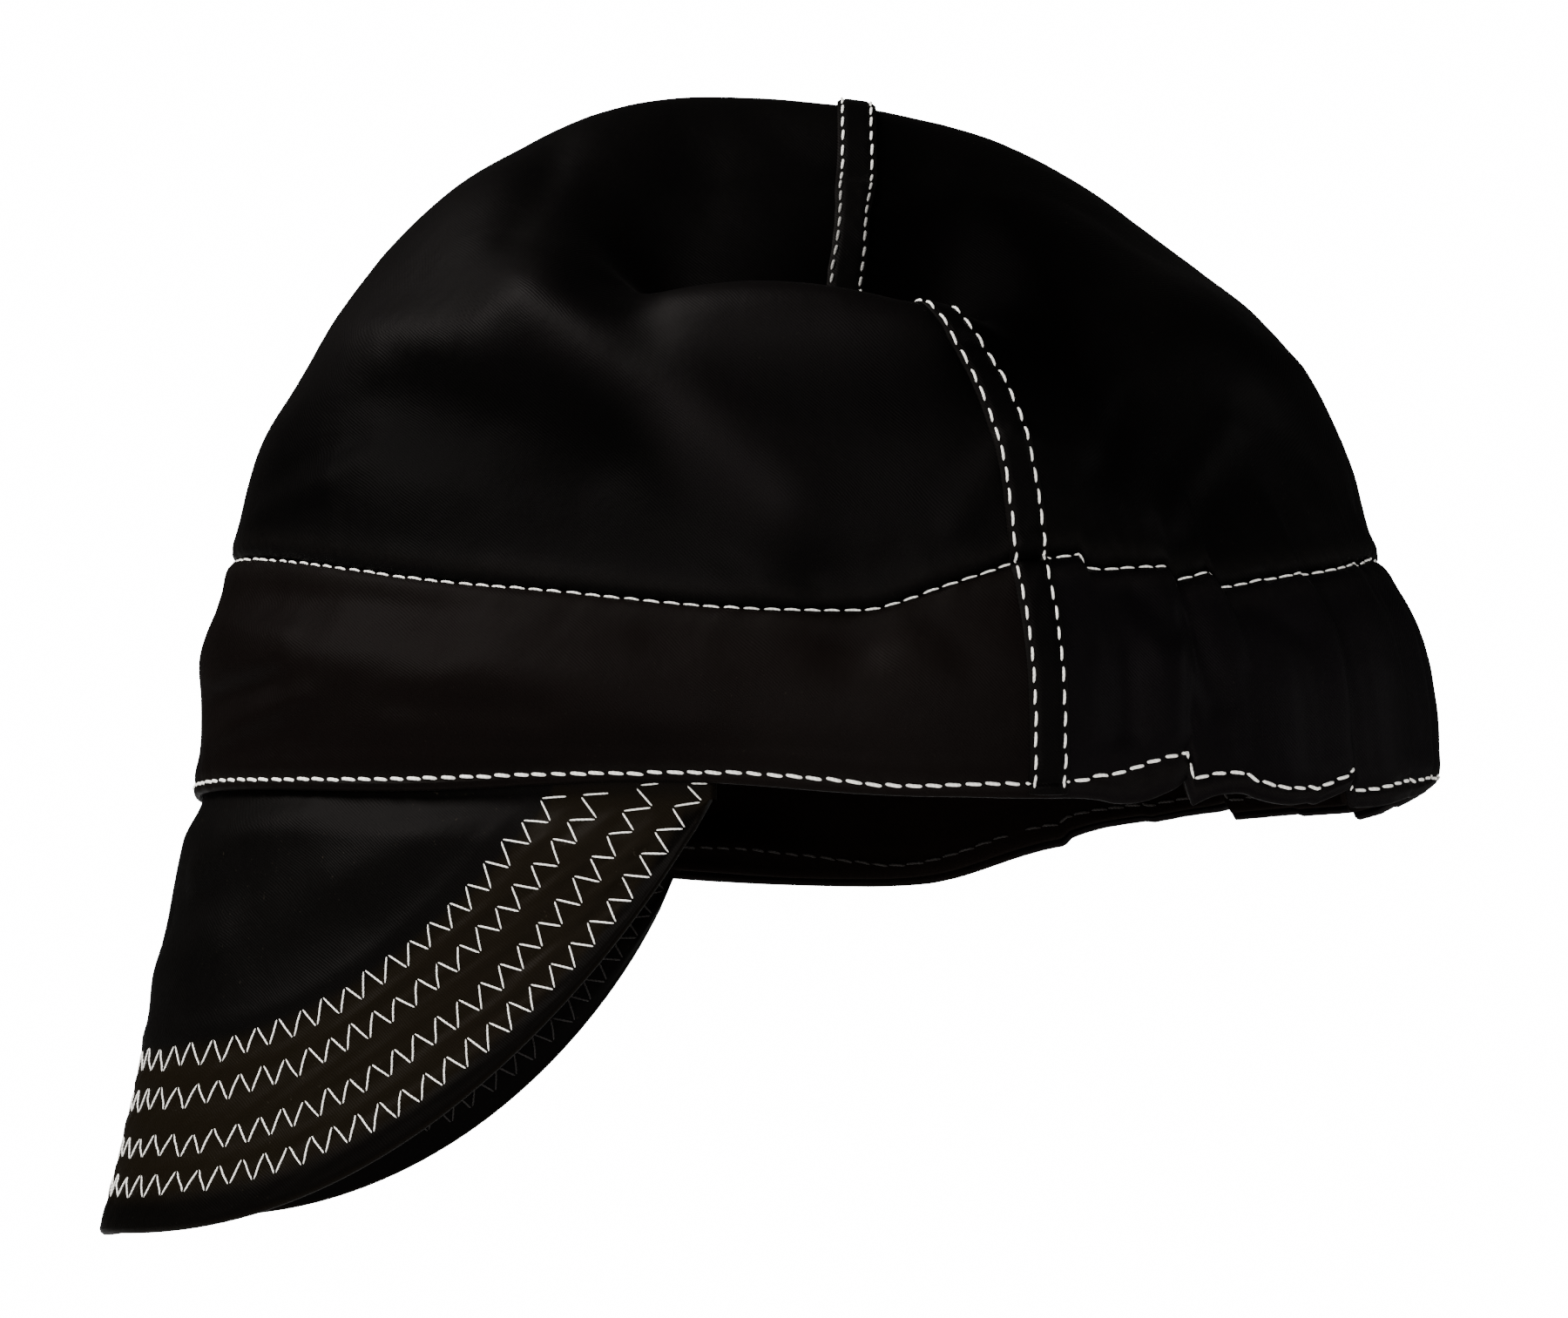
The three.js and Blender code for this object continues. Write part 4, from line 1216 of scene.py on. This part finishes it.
# One face of a twill weave: slanting ribs, broken by the threads that cross them.
def make_twill_group(pitch):
    group = bpy.data.node_groups.new("twill_face", "ShaderNodeTree")
    for name, way in (("Across", "INPUT"), ("Up", "INPUT"), ("Height", "OUTPUT")):
        group.interface.new_socket(name, in_out=way, socket_type="NodeSocketFloat")
    tree = Tree(group)
    source = tree.nodes.new("NodeGroupInput")
    turn = 2 * math.pi / (pitch * MM)
    across = tree.product(source.outputs["Across"], turn)
    up = tree.product(source.outputs["Up"], turn)
    rib = tree.math("SINE", tree.sum(across, up))
    crossing = tree.math("SINE", tree.math("SUBTRACT", tree.product(across, 1.9), up))
    tree.fill(tree.nodes.new("NodeGroupOutput"), {"Height": tree.sum(rib, tree.product(crossing, 0.35))})
    return group


# The twill on all three pairs of axes, mixed by the way the cloth faces.
def twill_height(tree, group, place, normal):
    split = tree.add("SeparateXYZ", {0: place})
    facing = tree.add("SeparateXYZ", {0: normal})
    heights = []
    weights = []
    for axis, across, up in (("X", "Y", "Z"), ("Y", "X", "Z"), ("Z", "X", "Y")):
        inputs = {"Across": split.outputs[across], "Up": split.outputs[up]}
        face = tree.add("Group", node_tree=group)
        tree.fill(face, inputs)
        weights.append(tree.math("POWER", tree.math("ABSOLUTE", facing.outputs[axis]), 6))
        heights.append(tree.product(face.outputs["Height"], weights[-1]))
    return tree.math("DIVIDE", tree.sum(*heights), tree.sum(*weights))


# Object coordinates, nudged by noise so that threads don't run dead straight.
def uneven_place(tree, place, amount):
    inputs = {0: tree.noise(place, 45, 2, output="Color"), 1: (amount, amount, amount), 2: place}
    return tree.add("VectorMath", inputs, operation="MULTIPLY_ADD").outputs[0]


# A cloth's two clouded colours, the darker of which is also its painted shade, the colour of its worn places
# and that of its painted highlights, its surface, how strong its ribs are, and how many specks of dust it
# has.
ClothLook = namedtuple("ClothLook", "dark light worn faded roughness gloss sheen weave dust")


def cloth_material(name, group, look, quilt_tint=None):
    material, tree, shader = start_material(name)
    place = tree.add("TexCoord")
    spot = place.outputs["Object"]
    cloudy = tree.noise(spot, 22, 5, 0.6)
    fine = tree.noise(spot, 900, 3)
    colour = tree.ramp(cloudy, (0.35, look.dark), (0.68, look.light))
    if quilt_tint:
        colour = tree.mix(tree.product(tree.attribute("quilt"), 0.9), colour, quilt_tint)
    speck = tree.ramp(tree.noise(spot, 1400, 2), (0.70, BLACK), (0.78, WHITE))
    patch = tree.ramp(tree.noise(spot, 38, 3), (0.45, BLACK), (0.75, WHITE))
    colour = tree.mix(tree.product(speck, patch, look.dust), colour, DUST_COLOUR)
    # Painted highlight lightens the colour towards its own tone, and painted shade darkens it towards the
    # dark colour and dulls its gloss.
    for key, tone in (("faded", look.faded), ("painted_shade", look.dark)):
        colour = tree.mix(tree.product(tree.attribute(key), 0.8), colour, tone)
    worn = tree.product(tree.attribute("wear"), tree.sum(fine, 0.1), 0.7)
    painted_shade_gloss = tree.product(tree.attribute("painted_shade"), -PAINTED_SHADE_DULLNESS * look.gloss)
    twill = twill_height(tree, group, uneven_place(tree, spot, 0.004), place.outputs["Normal"])
    ribs = tree.relief(tree.sum(twill, tree.product(fine, 0.9)), look.weave, 0.06)
    tree.fill(shader, {
        "Base Color": tree.mix(worn, colour, look.worn),
        "Roughness": tree.sum(tree.product(cloudy, 0.16), look.roughness - 0.08, tree.product(worn, 0.2)),
        "Specular IOR Level": tree.sum(painted_shade_gloss, look.gloss),
        "Specular Tint": CLOTH_GLOSS_TINT,
        "Sheen Weight": look.sheen,
        "Sheen Roughness": 0.35,
        "Sheen Tint": CLOTH_SHEEN_TINT,
        "Normal": tree.relief(tree.noise(spot, 160, 4, 0.6), 0.35, 0.5, Normal=ribs),
    })
    return material


def thread_material(name, bright, shade, gloss):
    material, tree, shader = start_material(name)
    place = tree.add("TexCoord")
    split = tree.add("SeparateXYZ", {0: place.outputs["UV"]})
    along = tree.product(split.outputs["X"], 2 * math.pi / THREAD_TWIST)
    around = tree.product(split.outputs["Y"], 4 * math.pi)
    twist = tree.math("SINE", tree.sum(along, around))
    blotch = tree.noise(place.outputs["Object"], 260, 3)
    mixed = tree.product(tree.sum(tree.product(twist, 0.25), 0.5, blotch), 0.5)
    colour = tree.ramp(mixed, (0.2, shade), (0.65, bright))
    tree.fill(shader, {
        "Base Color": tree.mix(tree.attribute("shaded"), colour, SHADED_THREAD),
        "Roughness": 0.55,
        "Specular IOR Level": gloss,
        "Sheen Weight": gloss * 0.57,
        "Normal": tree.relief(twist, 0.6, 0.08),
    })
    return material


def floor_material():
    material, tree, shader = start_material("pale_floor")
    mottle = tree.noise(tree.add("TexCoord").outputs["Object"], 3, 4)
    colour = tree.ramp(mottle, (0.3, (0.80, 0.80, 0.80)), (0.7, (0.84, 0.84, 0.84)))
    tree.fill(shader, {"Base Color": colour, "Roughness": 0.85, "Specular IOR Level": 0.2})
    return material


# Stage, light and camera, in metres
FLOOR_LEVEL = -0.26
FLOOR_HALF = 9.0
CAMERA_DISTANCE = 1.15
CAMERA_AZIMUTH = 90
CAMERA_ELEVATION = -7.4
CAMERA_LENS = 145.6
CAMERA_SENSOR = 36
CAMERA_TARGET = Vector((0, -0.0062, 0.0248))
SEEN_WORLD = 16
LIGHTING_WORLD = 0.05

Light = namedtuple("Light", "name position size watts colour", defaults=(WHITE,))
LIGHTS = [
    Light("key", (0.35, -0.95, 1.0), 0.6, 55, (1.0, 0.98, 0.96)),
    Light("fill", (1.5, -0.15, 0.1), 1.0, 32),
    Light("far_fill", (-1.5, -0.2, -0.3), 1.0, 10),
    Light("rear", (0.1, 1.6, 0.2), 0.8, 10),
]


def add_floor():
    mesh = bpy.data.meshes.new("floor")
    corners = [(x * FLOOR_HALF, y * FLOOR_HALF, FLOOR_LEVEL) for x, y in ((-1, -1), (1, -1), (1, 1), (-1, 1))]
    mesh.from_pydata(corners, [], [(0, 1, 2, 3)])
    mesh.materials.append(floor_material())
    floor = bpy.data.objects.new("floor", mesh)
    bpy.context.scene.collection.objects.link(floor)


def add_lights():
    for row in LIGHTS:
        light = bpy.data.lights.new(row.name, "AREA")
        light.shape = "DISK"
        light.size = row.size
        light.energy = row.watts
        light.color = row.colour
        lamp = bpy.data.objects.new(row.name, light)
        lamp.location = row.position
        lamp.rotation_euler = (CAMERA_TARGET - Vector(row.position)).to_track_quat("-Z", "Y").to_euler()
        bpy.context.scene.collection.objects.link(lamp)


# A world that the camera sees as white and that lights the cap only a little.
def add_world():
    world = bpy.data.worlds.new("studio")
    world.use_nodes = True
    bpy.context.scene.world = world
    tree = Tree(world.node_tree)
    seen = tree.fill(tree.nodes["Background"], {"Color": WHITE, "Strength": SEEN_WORLD})
    lit = tree.add("Background", {"Color": WHITE, "Strength": LIGHTING_WORLD})
    ray = tree.add("LightPath").outputs["Is Camera Ray"]
    mix = tree.add("MixShader", {"Fac": ray, 1: lit.outputs[0], 2: seen.outputs[0]})
    tree.fill(tree.nodes["World Output"], {"Surface": mix.outputs[0]})


def add_camera():
    turn = math.radians(CAMERA_AZIMUTH)
    tilt = math.radians(CAMERA_ELEVATION)
    back = Vector((math.sin(turn) * math.cos(tilt), -math.cos(turn) * math.cos(tilt), math.sin(tilt)))
    data = bpy.data.cameras.new("camera")
    data.lens = CAMERA_LENS
    data.sensor_width = CAMERA_SENSOR
    camera = bpy.data.objects.new("camera", data)
    camera.location = CAMERA_TARGET + back * CAMERA_DISTANCE
    camera.rotation_euler = back.to_track_quat("Z", "Y").to_euler()
    bpy.context.scene.collection.objects.link(camera)
    bpy.context.scene.camera = camera


add_camera()
add_lights()
add_world()
add_floor()

twill = make_twill_group(TWILL_PITCH)
black = ClothLook(
    dark=(0.0003, 0.00025, 0.00025), light=(0.0008, 0.0007, 0.00065), worn=(0.004, 0.0035, 0.003),
    faded=(0.0016, 0.0013, 0.0013), roughness=0.56, gloss=0.026, sheen=0.003, weave=0.25, dust=0.1)
crown_cloth = cloth_material("black_cloth", twill, black)
# The front band is warm in tint, and lighter than the crown's cloth as painted light.
warm_look = black._replace(dark=(0.0010, 0.0006, 0.0005), light=(0.0018, 0.0012, 0.0010))
warm_cloth = cloth_material("warm_band_cloth", twill, warm_look)
# The gathered band is purple-grey in tint, and lighter than the crown's cloth as painted light.
cool_look = black._replace(dark=(0.0009, 0.0007, 0.0009), light=(0.0017, 0.0014, 0.0016))
cool_cloth = cloth_material("gathered_band_cloth", twill, cool_look)
# The inside is brownish in tint, and lighter than the outer cloth as painted light where the lamps hardly
# reach.
inner_look = black._replace(
    dark=(0.0018, 0.0011, 0.0009), light=(0.0032, 0.0021, 0.0017), roughness=0.8, gloss=0.02, sheen=0)
inner_cloth = cloth_material("inner_cloth", twill, inner_look)
peak_look = black._replace(
    dark=(0.0004, 0.00035, 0.0003), light=(0.0008, 0.0007, 0.0006), gloss=0.02, dust=0.3)
peak_cloth = cloth_material("peak_cloth", twill, peak_look, (0.0028, 0.0019, 0.0007))
thread = thread_material("stitching", (0.86, 0.84, 0.78), (0.58, 0.55, 0.50), 0.35)
dark_thread = thread_material("stitching_inside", (0.013, 0.011, 0.010), (0.007, 0.006, 0.005), 0.1)

front = (FRONT_COLUMNS, *FRONT_SPAN)
rear = (REAR_COLUMNS, *REAR_SPAN)
band_front = add_band("band_front_cloth", "band_front", *front, warm_cloth)
band_rear = add_band("band_rear_cloth", "band_rear", *rear, cool_cloth)
crown_front = add_crown("crown_front_cloth", "crown_front", FRONT_COLUMNS, False, crown_cloth)
crown_rear = add_crown("crown_rear_cloth", "crown_rear", REAR_COLUMNS, True, crown_cloth)
fell = add_fell(crown_cloth)
facing_front = add_facing("facing_front_cloth", "facing_front", *front, inner_cloth)
facing_rear = add_facing("facing_rear_cloth", "facing_rear", *rear, inner_cloth)
add_peak(peak_cloth)
add_straight_stitching(thread, dark_thread)
add_seam_stitching(thread, dark_thread)
add_zigzags(thread, dark_thread)
